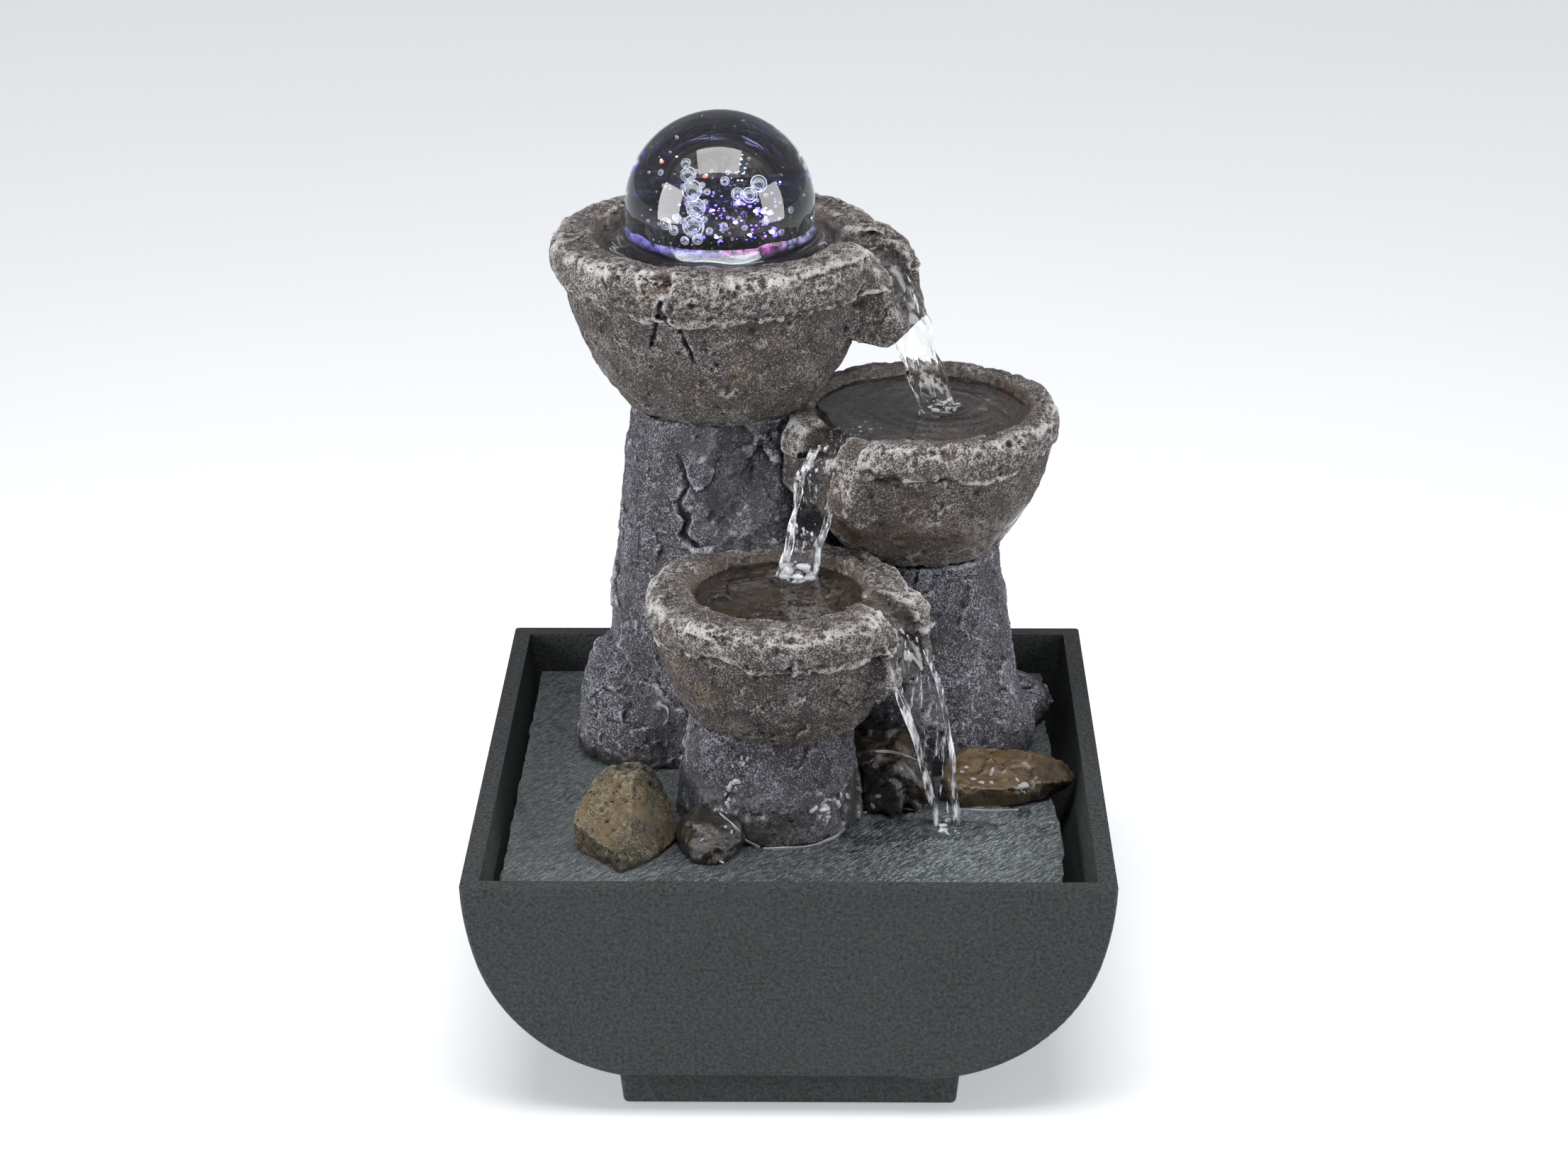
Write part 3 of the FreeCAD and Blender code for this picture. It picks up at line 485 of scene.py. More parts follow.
OLIVE = stone("olive_stone", (0.015, 0.013, 0.009), (0.077, 0.065, 0.042), (0.27, 0.24, 0.17),
              (0.38, 0.35, 0.28), (0.15, 0.108, 0.05), cover=0, warmth=0.4)


def cut(s, planes):
    """Slices flat faces off a stone. A plane is a point in millimetres and its outward normal."""
    for place, normal in planes:
        normal = np.array(normal) / norm(normal)
        over = (s.p - np.array(place)) @ normal
        s.p = s.p - np.outer(np.clip(over, 0, None), normal)


def weathered(s, seed, broad=0.6, facet=1, pit=0.5, fine=0.2, wear=1):
    """Breaks a stone's even surface: swells, broken facets, worn edges, pits and grain."""
    bent = s.p + 0.8 * noise(s.p, 4, seed + 3)[:, None]
    s.push(fractal(s.p, 15, seed) * broad + facets(bent, 9, seed + 5) * facet
           + facets(bent, 3.6, seed + 9) * facet * 0.45)
    chipped = smoothstep(-0.1, 0.5, noise(s.p, 3.4, seed + 11))
    s.push(-wear * np.clip(s.bulge(8), 0, 1.2) * (0.25 + 1.5 * chipped))
    holes = pits(s.p, 2.6, seed + 17, 0.22) * pit * 1.2 + pits(s.p, 1.7, seed + 23, 0.35) * pit * 0.7
    s.push(fractal(s.p, 2.2, seed + 29, 2) * fine - holes)


def cracked(s, cracks, seed):
    """Opens cracks along lines: each is (line, width, depth). Returns where they are."""
    open_at = np.zeros(len(s.p))
    for line, width, depth in cracks:
        gap = near_line(s.p + noise(s.p, 2.2, seed + 3)[:, None] * 0.4, line)
        shape = np.exp(-(gap / width) ** 2)
        s.push(-depth * shape)
        open_at = np.maximum(open_at, shape)
    return open_at


def marked(s, wet, ochre=0, pale=0, dark=0):
    """Paints where the surface stands proud, where it is hollow, wet or stained. Hollows and cracks are
    painted low, which darkens them: a dark wash and painted shade.
    """
    s.paint("edge", s.spread(np.clip(s.bulge(6) * 2.2 - 0.15 + pale, 0, 1)))
    # Low relief in hollows and cracks is painted darker: partly a dark wash, partly painted shade.
    s.paint("relief", 0.5 + s.bulge(2) * 3 - dark)
    s.paint("wet", wet + np.zeros(len(s.p)))
    s.paint("ochre", ochre + np.zeros(len(s.p)))


def ragged_step(s, axis, z, drop, depth, seed):
    """Breaks the lower edge of a bowl's thick lip. Returns the points' heights above that edge."""
    out = s.p[:, :2] - np.array(axis)
    out /= norm(out, axis=1, keepdims=True).clip(1e-6)
    around = np.column_stack([out * 20, np.zeros(len(out))])
    above = s.p[:, 2] - z
    broken = above + drop * (fractal(around, 9, seed, 3) * 1.3 + 0.1)
    s.push((smoothstep(-0.5, 0.5, broken) - smoothstep(-0.5, 0.5, above)) * depth)
    s.push(smoothstep(-0.35, 0.35, broken) * 0.55)
    return broken


def finished(s, node, material):
    s.write()
    obj = new_object(node + "_casting", s.mesh, "sculpture", material)
    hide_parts(node)


def bowl(node, seed, axis, rim_z, step_z, drop, wet_inside, spout, cracks=(), chips=(), ochre=(),
         pale=()):
    """One cast bowl: axis is its middle in plan, rim_z its rim's height, step_z its lip's lower edge.

    drop is how far that edge is broken, wet_inside the radius of the wet basin, and spout the line that
    its water leaves along. The rest are cracks and spots on its surface.
    """
    s = remeshed(node, 0.58, 2)
    broken = ragged_step(s, axis, step_z, drop, 0.8, seed + 41)
    inside = norm(s.p[:, :2] - np.array(axis), axis=1)
    shoulder = np.exp(-((s.p[:, 2] - rim_z + 1.2) / 1.5) ** 2)
    shoulder *= smoothstep(wet_inside + 4, wet_inside + 7, inside)
    ledge = np.exp(-((broken - 0.5) / 0.8) ** 2) * smoothstep(wet_inside, wet_inside + 3, inside)
    band = smoothstep(0.2, 1, broken) * smoothstep(wet_inside + 3, wet_inside + 6, inside)
    s.push(-0.3 * band * pits(s.p, 1.7, seed + 69, 0.3))
    weathered(s, seed, broad=0.45, facet=0.5, pit=0.5, wear=0.8)
    s.push(-0.9 * shoulder * smoothstep(0, 0.5, noise(s.p, 4, seed + 61)))
    s.push(-0.6 * ledge * smoothstep(0, 0.4, noise(s.p, 3, seed + 63)))
    dark = cracked(s, cracks, seed)
    for centre, radius, depth in chips:
        s.push(-depth * near_spots(s.p, [(centre, radius)]) * (1 + 0.6 * facets(s.p, 3, seed + 51)))
    white = near_spots(s.p, pale)
    s.push(-0.5 * white * pits(s.p, 2.2, seed + 57, 0.7))
    high = smoothstep(rim_z - 40, rim_z - 25, s.p[:, 2])
    wet = (1 - smoothstep(wet_inside - 1, wet_inside + 2.5, inside)) * high
    wet = np.maximum(wet, 1 - smoothstep(4.5, 7, near_line(s.p, spout)))
    rim = (1 - smoothstep(wet_inside - 2, wet_inside + 7, inside)) * high
    rim *= 0.6 + 0.7 * noise(s.p, 8, seed + 59)
    worn = 0.55 * shoulder * smoothstep(-0.3, 0.35, fractal(s.p, 5, seed + 65))
    worn += 0.25 * ledge * smoothstep(-0.3, 0.5, noise(s.p, 7, seed + 67)) + 0.16 * band
    stained = np.maximum(rim, near_spots(s.p, ochre))
    marked(s, wet * (1 - white), stained, np.maximum(0.42 * white, worn), dark)
    finished(s, node, CAST)


def casting(node, seed, material, slot, wet_below, planes=(), cracks=(), ochre=(), damp_and_shade=(), swell=(),
            **weather):
    """A column or a loose stone. It is wet up to a height that wanders, and in damp spots, some of which
    paint in shade as darker wet stone.

    swell lists (centre, radius, height) of places where it bulges.
    """
    s = remeshed(node, 0.64, 2)
    cut(s, planes)
    for centre, radius, height in swell:
        s.push(height * near_spots(s.p, [(centre, radius)]))
    weathered(s, seed, **weather)
    dark = cracked(s, cracks, seed)
    line = wet_below + 3.5 * fractal(s.p, 9, seed + 2)
    wet = np.maximum(1 - smoothstep(line - 3, line + 2, s.p[:, 2]), 0.65 * near_spots(s.p, damp_and_shade))
    marked(s, wet, near_spots(s.p, ochre) * smoothstep(0.25, 0.6, s.normals()[:, 2]), 0, dark)
    finished(s, node, material)


bowl("upper_bowl", 100, (-19.2, 35.8), 194.7, 184.2, 2.6, 31,
     [(15, 31.3, 189.8), (22, 30.4, 188), (27.5, 29.9, 181.5), (30.2, 29.6, 168)],
     cracks=[([(-32.2, -5.6, 188.5), (-32.6, -4.4, 184)], 0.55, 1.1),
             ([(-32.8, -3.6, 184.4), (-33.6, -1.3, 181.4), (-34.6, 0.3, 177.5), (-35.2, 1.1, 175)],
              0.55, 1.4),
             ([(-32, -4.4, 184.5), (-28.2, -2.8, 181), (-24, -1.3, 171)], 0.6, 1.5)],
     chips=[((-33, -4.5, 194.5), 6, 1.7), ((-8, -4, 193.5), 3.5, 0.8)],
     ochre=[((-33, -3, 193), 7), ((-12.5, -0.3, 169), 6)],
     pale=[((-47, 6, 193), 8), ((-7.1, -0.6, 176.2), 2.8), ((-15.4, 3.3, 161.7), 3)])
bowl("middle_bowl", 200, (33.5, 28), 150.3, 141, 1.8, 28.5,
     [(15, 13.4, 146.4), (9.5, 9, 143), (6.5, 6.5, 136), (5, 4, 128)],
     chips=[((24, -6, 141.5), 4.5, 0.9)],
     ochre=[((8.5, 4.5, 134), 8), ((11.5, 22, 146), 6)],
     pale=[((20.4, -4.6, 147), 6), ((13, -2.5, 138), 4)])
bowl("lower_bowl", 300, (-3.2, -14), 116, 107, 2, 22,
     [(19, -21, 111.4), (26, -23.2, 108.5), (30.3, -24.6, 101), (31.5, -25, 95)],
     ochre=[((-29.3, -30, 101), 9), ((-20, -36, 96), 6)],
     pale=[((27.5, -32, 99), 6.5), ((31.5, -26, 95), 4.5), ((-19.8, -41.3, 114.5), 5),
           ((-2.3, -42.4, 115), 5.5)])
# The tall column's spots under the upper bowl darken it there as painted shade; the spot at its foot is a
# wet knob.
casting("tall_column", 400, COLUMN, "cast_stone", 60, facet=1, pit=0.35,
        swell=[((7.5, 28, 110), 16, 4)],
        cracks=[([(-31, 13.5, 144), (-29.5, 12.8, 139), (-27, 12.2, 133), (-29.8, 11.6, 128.5)],
                 0.7, 1.6),
                ([(-29.8, 11.6, 128.5), (-27.4, 11.2, 124), (-28.6, 11, 120), (-24, 10.8, 117)],
                 1, 2),
                ([(-24, 10.8, 117), (-19, 10.6, 119.5), (-15, 10.6, 118)], 0.6, 1)],
        damp_and_shade=[((-17, 11, 144), 14), ((-13, 11, 131), 16), ((-15, 11, 121), 11),
              ((-35.5, 10.6, 70.5), 7)])
casting("middle_column", 500, COLUMN, "cast_stone", 60, facet=0.9, pit=0.35, damp_and_shade=[((15, 6, 96), 12)],
        swell=[((14, 28, 106), 13, 2.5)])
casting("lower_column", 600, COLUMN, "cast_stone", 68, facet=0.9, pit=0.35)
casting("centre_stone", 700, WET, "wet_stone", 90, facet=2,
        planes=[((24, -12, 69.5), (0.05, -0.55, 0.83)), ((24, -18.5, 60), (0.1, -0.99, 0.1))],
        ochre=[((27, -12, 70), 7)])
casting("brown_stone", 800, BROWN, "wet_stone", 90, facet=1.1, pit=0.4, broad=0.5,
        planes=[((52, 4, 64.2), (0.06, -0.26, 0.96)), ((52, -14.2, 58), (0.06, -1, 0.06)),
                ((66, -6, 60.5), (0.42, -0.2, 0.88))],
        ochre=[((50, -4, 63), 24)])
casting("grey_stone", 900, COLUMN, "cast_stone", 56, facet=1.4)
casting("olive_stone", 1000, OLIVE, "olive_stone", 57, facet=0.6, pit=0.6, broad=0.5, fine=0.3,
        damp_and_shade=[((-37, -38, 59), 11), ((-50, -44, 55), 7)],
        planes=[((-44, -33, 68), (-0.24, -0.42, 0.87)), ((-38.5, -30, 68), (0.72, -0.28, 0.63)),
                ((-50.5, -44, 58), (-0.72, -0.62, -0.1))],
        ochre=[((-47, -36, 66), 16)])
casting("small_stone", 1100, WET, "wet_stone", 90, facet=1.2)


# -------------------- slate deck
def slate_material():
    """Riven slate: slanting streaks across the plate, pale specks that add a painted sheen where wet, and
    painted shade by the lower column.
    """
    n = Nodes("riven_slate")
    lines = n.noise(0.8, 6, 0.8, (0.34, 1.5, 1), turn=0.87)
    grain = n.noise(0.5, 4, 0.82, seed=0.4)
    cloud = n.noise(22, 4, 0.6, seed=0.22)
    wet, edge = n.attribute("wet"), n.attribute("edge")
    base = n.mix(n.rise(n.mix(0.35, lines, grain), 0.43, 0.57),
                 (0.023, 0.028, 0.029), (0.2, 0.223, 0.225))
    base = n.mix(n.ramp(cloud, (0.4, 0), (0.7, 0.4)), base, (0.15, 0.168, 0.168))
    # Painted shade: the slate darkens in front of the lower column.
    base = n.mix(n.times(n.attribute("damp_and_shade"), 0.92), base, (0.36, 0.38, 0.4), "MULTIPLY")
    # Pale specks everywhere, and more where wet: there they are a painted sheen of the wet slate.
    speck_and_sheen = n.times(n.rise(lines, 0.5, 0.57), n.rise(grain, 0.46, 0.54))
    base = n.mix(n.times(speck_and_sheen, n.math("ADD", n.times(wet, 0.9), 0.25)),
                 base, (0.5, 0.57, 0.63))
    base = n.mix(n.times(edge, n.ramp(grain, (0.42, 0), (0.56, 0.8))), base, (0.34, 0.36, 0.36))
    rough = n.math("SUBTRACT", n.ramp(grain, (0.3, 0.6), (0.7, 0.85)), n.times(wet, 0.38))
    streaks = n.bump(lines, 0.9)
    return n.finish(Base_Color=base, Roughness=rough, Normal=n.bump(grain, 0.4, under=streaks),
                    Specular_IOR_Level=0.4)


def deck():
    """The slate plate, with split layers on its face and broken edges."""
    s = remeshed("slate_deck", 0.6, 1)
    x, y = s.p[:, 0], s.p[:, 1]
    top = smoothstep(0.4, 0.9, s.normals()[:, 2])
    slant = np.column_stack([x * 0.94 + y * 0.34, (y * 0.94 - x * 0.34) * 3.2, s.p[:, 2]])
    layers = np.floor(3 * fractal(s.p * (1, 1, 0), 42, 61) + 0.6) * 0.22
    s.push(top * (0.2 * fractal(slant, 9, 63) + layers - 0.15))
    edge = 0.55 * noise(s.p * (1, 1, 2), 4, 67) - 0.2
    s.push((1 - top) * np.where(s.p[:, 2] > DECK_TOP - 5, edge, 0))
    wet = smoothstep(-15, 45, x) * (1 - smoothstep(-35, 10, y)) * 0.9
    wet = np.maximum(wet, 0.25 * (1 - smoothstep(-60, -20, y)))
    s.paint("wet", s.spread(wet * (0.75 + 0.4 * fractal(s.p, 12, 71))))
    s.paint("edge", s.spread(np.clip(s.bulge(4) * 3 - 0.2, 0, 1)))
    # Painted shade: darker slate in front of and around the lower column's foot.
    shade = np.hypot((x + 2) / 42, (y + 42) / 31) + 0.25 * fractal(s.p, 16, 73)
    s.paint("damp_and_shade", 1 - smoothstep(0.5, 1.1, shade))
    s.write()
    obj = new_object("slate_plate", s.mesh, "sculpture", slate_material())
    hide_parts("slate_deck")


deck()


# -------------------- water
WATER_COLOUR = (0.97, 0.985, 0.98)
WATER = glass("water", WATER_COLOUR, WATER_IOR)
# White water: foam in the splashes, and a painted glint where it makes the beads and runs on the stones.
FOAM_AND_GLINTS = glass("white_water_and_glints", (0.9, 0.91, 0.94), WATER_IOR, 0.1, 0.08, 0.9, 0.72)
SHEET = falling_water("sheet_water", 0.6, 0.72)
ROPE = falling_water("rope_water", 0.46, 0.6)
THIN = glass("thin_water", WATER_COLOUR, WATER_IOR, 0.12, 0.05, 1.5)


def water_piece(name, mesh, material=WATER):
    new_object(name, mesh, "sculpture", material)


def grid_mesh(name, rows, close_rows=False):
    """A mesh through rows of points, each row a closed ring. Its ends are capped or joined."""
    count, width = len(rows), len(rows[0])
    points = np.concatenate(rows) * MM
    faces = []
    for i in range(count if close_rows else count - 1):
        for j in range(width):
            a, b = i * width + j, i * width + (j + 1) % width
            c, d = ((i + 1) % count) * width + (j + 1) % width, ((i + 1) % count) * width + j
            faces.append((a, b, c, d))
    if not close_rows:
        faces.append(tuple(range(width - 1, -1, -1)))
        faces.append(tuple(range((count - 1) * width, count * width)))
    mesh = bpy.data.meshes.new(name)
    mesh.from_pydata(points.tolist(), [], faces)
    mesh.validate()
    bm = bmesh.new()
    bm.from_mesh(mesh)
    bmesh.ops.recalc_face_normals(bm, faces=bm.faces)
    bm.to_mesh(mesh)
    bm.free()
    return mesh


def ripples(points, source, seed, ring=0.1, chop=0.07, wave=4.6, fade=9, collar=0):
    """Height of the water: rings that spread from a falling stream, over gentle chop."""
    flat = points * (1, 1, 0)
    away = norm(flat[:, :2] - np.array(source), axis=1)
    bend = away + 1.4 * noise(flat, 7, seed + 1)
    rings = np.cos(bend * 2 * math.pi / wave) * np.exp(-away / fade) * ring
    raised = collar * np.exp(-((bend - 4.2) / 1.1) ** 2) * (1 + 0.9 * noise(flat, 2.4, seed + 2))
    return rings + raised + chop * fractal(flat, 8, seed, 3)


def ring_points(count):
    """Points of a circle of radius 1, flat at height 0."""
    around = np.linspace(0, 2 * math.pi, count + 1)[:-1]
    return np.column_stack([np.cos(around), np.sin(around), np.zeros(count)])


def pool(name, centre, level, radius, source, seed, depth, squeeze, **waves):
    """Water standing in a bowl, depth deep. Its rim and underside are inside the stone.

    squeeze is the share of its radius that it loses at its bottom.
    """
    ring = ring_points(180)
    rows = []
    for r in np.linspace(0.01, 1, 60) * radius:
        points = ring * r + (*centre, level)
        points[:, 2] += ripples(points, source, seed, **waves)
        rows.append(points)
    for t in np.linspace(0.1, 1, 8):
        rows.append(ring * (radius * (1 - squeeze * t)) + (*centre, level - depth * t))
    water_piece(name, grid_mesh(name, rows))


def lit_water():
    """Water that glows with painted lamp light, blue, violet and pink, along the ball."""
    n = Nodes("lit_water")
    across = n.add("ShaderNodeSeparateXYZ")
    n.join(n.place, across.inputs[0])
    blur = n.times(n.noise(5, 2, 0.5), 0.3)
    blur = n.math("ADD", n.times(across.outputs["X"], 14), n.math("ADD", blur, 0.5))
    colour = n.ramp(blur, (0, (0.3, 0.28, 0.95)), (0.38, (0.34, 0.3, 0.95)),
                    (0.46, (0.85, 0.2, 0.7)), (0.58, (0.8, 0.22, 0.8)),
                    (0.64, (0.5, 0.48, 0.95)), (0.9, (0.7, 0.71, 0.95)))
    glow = n.times(n.attribute("glow"), n.ramp(n.noise(2.4, 3, 0.6), (0.38, 0.02), (0.66, 0.72)))
    return n.finish(Base_Color=(*WATER_COLOUR, 1), Transmission_Weight=1, IOR=WATER_IOR,
                    Roughness=0, Emission_Color=colour, Emission_Strength=glow)


def upper_pool():
    """A ring of water between the ball and the bowl, which climbs a little way up the ball."""
    ring = ring_points(220)
    rows = []
    climb, depth, outer, gap = 4.6, 13, 33.5, 0.12
    top = UPPER_LEVEL + climb

    def inner(z):
        return math.sqrt(BALL_R ** 2 - (z - BALL[2]) ** 2) + gap

    for z in np.linspace(UPPER_LEVEL - depth, top, 20):
        rows.append(ring * inner(z) + (BALL[0], BALL[1], z))
    for t in np.linspace(0.015, 1, 44) ** 1.4:
        r = inner(top) + (outer - inner(top)) * t
        lift = climb * np.exp(-(r - inner(top)) / 2.2) * (1 + 0.22 * noise(ring * 18, 5, 91))
        middle = BALL[:2] * (1 - t) + UPPER_CENTRE * t
        points = ring * r + (*middle, UPPER_LEVEL)
        waves = ripples(points, BALL[:2], 93, 0.3, 0.16, 3.1, 60)
        points[:, 2] += lift + waves * smoothstep(0, 0.1, t)
        rows.append(points)
    for t in np.linspace(0.15, 1, 6):
        rows.append(ring * (outer - 1.2 * t) + (*UPPER_CENTRE, UPPER_LEVEL - depth * t))
    s = Surface(grid_mesh("water_upper_pool", rows, close_rows=True))
    away = norm(s.p[:, :2] - BALL[:2], axis=1)
    front = smoothstep(2, -10, s.p[:, 1] - BALL[1])
    high = smoothstep(UPPER_LEVEL + 2, UPPER_LEVEL + 3.4, s.p[:, 2])
    # Painted light: the lamps' glow on the water in front of the ball, shown by emission.
    s.paint("glow", (1 - smoothstep(BALL_R - 1, BALL_R + 0.9, away)) * front * high)
    water_piece("water_upper_pool", s.mesh, lit_water())


def deck_film():
    """A thin film of water that spreads over the slate from where the lowest stream lands."""
    wide, deep = 150, 84
    x, y = np.meshgrid(np.linspace(12, 62, wide), np.linspace(-40, -14, deep))
    flat = np.column_stack([x.ravel(), y.ravel(), np.zeros(x.size)])
    spread = np.hypot((flat[:, 0] - 37) / 17, (flat[:, 1] + 27) / 8) + 0.35 * fractal(flat, 8, 171)
    height = 0.75 * (1 - smoothstep(0.5, 1, spread)) + 0.05 * fractal(flat, 7, 173)
    height += ripples(flat, (40.3, -25.9), 177, 0.08, 0, 4, 6) * (spread < 0.8)
    rows = np.split(flat + (0, 0, DECK_TOP), deep)
    tops = [row + np.outer(z - 0.12, (0, 0, 1)) for row, z in zip(rows, np.split(height, deep))]
    closed = [np.concatenate([t, r[::-1] - (0, 0, 1.2)]) for t, r in zip(tops, rows)]
    water_piece("water_film", grid_mesh("water_film", closed), THIN)


def splash(name, centre, seed, reach=4.6, count=26, height=1.6, largest=1):
    """Beads and lumps of white water thrown up where a stream lands."""
    rng = np.random.default_rng(seed)
    bm = bmesh.new()
    for _ in range(count):
        angle, away = rng.random() * 2 * math.pi, reach * rng.random() ** 0.5
        size = largest * (0.25 + 0.75 * rng.random() ** 2)
        rise = 0.2 + height * rng.random() ** 1.4 * (1 - 0.7 * away / reach)
        spot = np.array((away * math.cos(angle), away * math.sin(angle), rise))
        turn = Matrix.Rotation(rng.random() * 3, 4, "Z") @ Matrix.Diagonal((1.7, 0.8, 0.7, 1))
        sphere(bm, 2, size, np.array(centre) + spot, turn)
    water_piece(name, mesh_from(bm, name), FOAM_AND_GLINTS)


def smooth_path(points, steps):
    """Even points along a smooth curve through a few points (Catmull-Rom)."""
    pts = np.array([points[0]] + list(points) + [points[-1]], float)
    out = []
    for i in range(1, len(pts) - 2):
        for t in np.linspace(0, 1, steps, endpoint=False):
            a, b, c, d = pts[i - 1], pts[i], pts[i + 1], pts[i + 2]
            out.append(0.5 * (2 * b + (c - a) * t + (2 * a - 5 * b + 4 * c - d) * t * t
                              + (3 * b - a - 3 * c + d) * t ** 3))
    out.append(pts[-2])
    return np.array(out)


def stream(name, path, sizes, across, seed, rough=0.5, fold=0, end_across=None, material=WATER,
           twist=(0, 1)):
    """A falling sheet of water: sizes are (half width, half thickness) at each path point.

    across is the direction of its width where it starts, and end_across where it lands. It turns from
    one to the other between the two shares of its length in twist. rough makes its width uneven, and
    fold crumples it. Returns its two edges.
    """
    steps, corners = 14, 64
    line = smooth_path(path, steps)
    widths = smooth_path([(*s, 0) for s in sizes], steps)
    ends = [np.array(v, float) / norm(v) for v in (across, end_across or across)]
    around = np.linspace(0, 2 * math.pi, corners + 1)[:-1]
    thick = 0.26 + 0.74 * np.cos(around) ** 6
    rows = []
    travelled = 0.0
    for i, point in enumerate(line):
        ahead = line[min(i + 1, len(line) - 1)] - line[max(i - 1, 0)]
        ahead /= norm(ahead)
        t = i / (len(line) - 1)
        turned = min(1, max(0, (t - twist[0]) / (twist[1] - twist[0])))
        up = np.cross(ahead, ends[0] * (1 - turned) + ends[1] * turned)
        up /= norm(up)
        side = np.cross(up, ahead)
        travelled += norm(point - line[max(i - 1, 0)])
        along = np.full(corners, travelled)
        shape = np.column_stack([np.cos(around) * 5, np.sin(around) * 5, along / 3.2])
        wobble = 1 + rough * 0.35 * fractal(shape, 3.2, seed, 3)
        creases = np.column_stack([np.cos(around) * widths[i, 0], np.zeros(corners), along * 0.45])
        crumple = fold * min(1, 2.5 * t) * fractal(creases, 2.8, seed + 9, 3)
        rows.append(point + np.outer(np.cos(around) * widths[i, 0] * wobble, side)
                    + np.outer(np.sin(around) * widths[i, 1] * wobble * thick + crumple, up))
    water_piece(name, grid_mesh(name, rows), material)
    return [np.array([row[corner] for row in rows[::steps]]) for corner in (0, corners // 2)]


def ropes(name, edges, first, size, seed):
    """The thick uneven rims of a falling sheet, from its edges' point number first on down."""
    rng = np.random.default_rng(seed)
    for number, edge in enumerate(edges):
        edge = smooth_path(edge[first:], 2)
        edge += rng.normal(0, 0.22, edge.shape)
        thickness = [(size * k, size * k) for k in rng.uniform(0.55, 1.25, len(edge))]
        stream(f"{name}_{number + 1}", edge, thickness, (1, 0.1, 0), seed + number, 1.6, 0.2,
               material=ROPE)


upper_pool()
pool("water_middle_pool", MIDDLE_CENTRE, MIDDLE_LEVEL, 28.6, MIDDLE_LANDING, 110, 12.6, 0.06,
     ring=0.2, chop=0.12, fade=13, collar=1)
pool("water_lower_pool", LOWER_CENTRE, LOWER_LEVEL, 22.6, LOWER_LANDING, 120, 9.4, 0.06,
     ring=0.07, chop=0.05, collar=0.7)
deck_film()
splash("splash_middle", (*MIDDLE_LANDING, MIDDLE_LEVEL), 181)
splash("splash_lower", (*LOWER_LANDING, LOWER_LEVEL), 183, 3.6, 46, 6.5, 1.35)
splash("splash_deck", (40.3, -26.2, DECK_TOP), 187, 5.2, 18)
stream("water_upper_fall",
       [(8, 32.2, 189.6), (15, 31.3, 189.8), (22, 30.6, 188), (27.4, 30.2, 181.5), (30.6, 30.4, 172),
        (32.8, 30.6, 163), (36, 30.6, 153.5), (38.6, 30.4, 146)],
       [(4, 1.2), (5, 1.6), (5.4, 1.5), (5.8, 1.4), (6.4, 1.3), (6, 1.5), (5.2, 1.8), (5, 2.4)],
       (0.3, 0.95, 0.1), 130, 0.6, 1.5, (0.88, 0.47, 0))
edges = stream("water_middle_fall",
               [(22, 19, 146.6), (15, 13.4, 146.4), (9.5, 9, 143), (6.5, 6.5, 136), (5, 4, 128),
                (3, 1, 121), (1.4, -1.6, 112)],
               [(3.4, 1), (4.6, 1.3), (4.8, 1.4), (4.6, 1.4), (4.4, 1.6), (4, 1.9), (4.2, 2.4)],
               (0.62, -0.78, 0), 140, 0.7, 0.65, (0.99, 0.14, 0), SHEET, (0.25, 0.5))
ropes("water_middle_rope", edges, 2, 0.95, 145)
edges = stream("water_lower_fall",
               [(13, -19, 111.5), (19, -21, 111.4), (26, -23.2, 108.5), (30.3, -24.6, 101),
                (33, -25.3, 92), (36, -25.8, 80), (38.4, -26, 66), (39.8, -26, 53.8)],
               [(3.2, 1), (4.3, 1.2), (4.9, 1.1), (5.3, 1), (5.1, 1), (4.1, 1.1), (3.2, 1.3),
                (2.5, 1.5)],
               (0.3, 0.95, 0), 150, 0.65, 0.55, (1, 0.05, 0), SHEET, (0.3, 0.55))
ropes("water_lower_rope", edges, 3, 0.85, 155)

# Thin runs of white water along the foot of the stones, white as a painted highlight on the waterline.
RUNS = [[(-18, -36.5, 63.2), (-14, -40.6, 61), (-11.8, -38.6, 57), (-8, -38.9, 54.6)],
        [(-7, -39, 54.4), (-2.4, -38.9, 54.3), (4.4, -37, 54.3), (10.8, -32.8, 54.4),
         (13.6, -29, 54.8)],
        [(21.5, -14.6, 70.2), (25, -13.6, 69.6), (29.4, -13.2, 68.2), (34.5, -10.6, 64)],
        [(42.5, -16.2, 54.3), (48, -16.8, 54.3), (53, -17, 54.3), (58.6, -17, 54.3)],
        [(-35.6, 9.2, 72.6), (-33.4, 9.2, 71.4), (-33, 9, 68.8), (-34, 8.8, 66.8)]]
for number, run in enumerate(RUNS):
    sizes = [(0.26 + 0.3 * (step % 2), 0.24 + 0.14 * (step % 2)) for step in range(len(run))]
    stream(f"water_run_highlight_{number + 1}", run, sizes, (0.1, -0.4, 0.9), 160 + number, 2, 0.35,
           material=FOAM_AND_GLINTS)


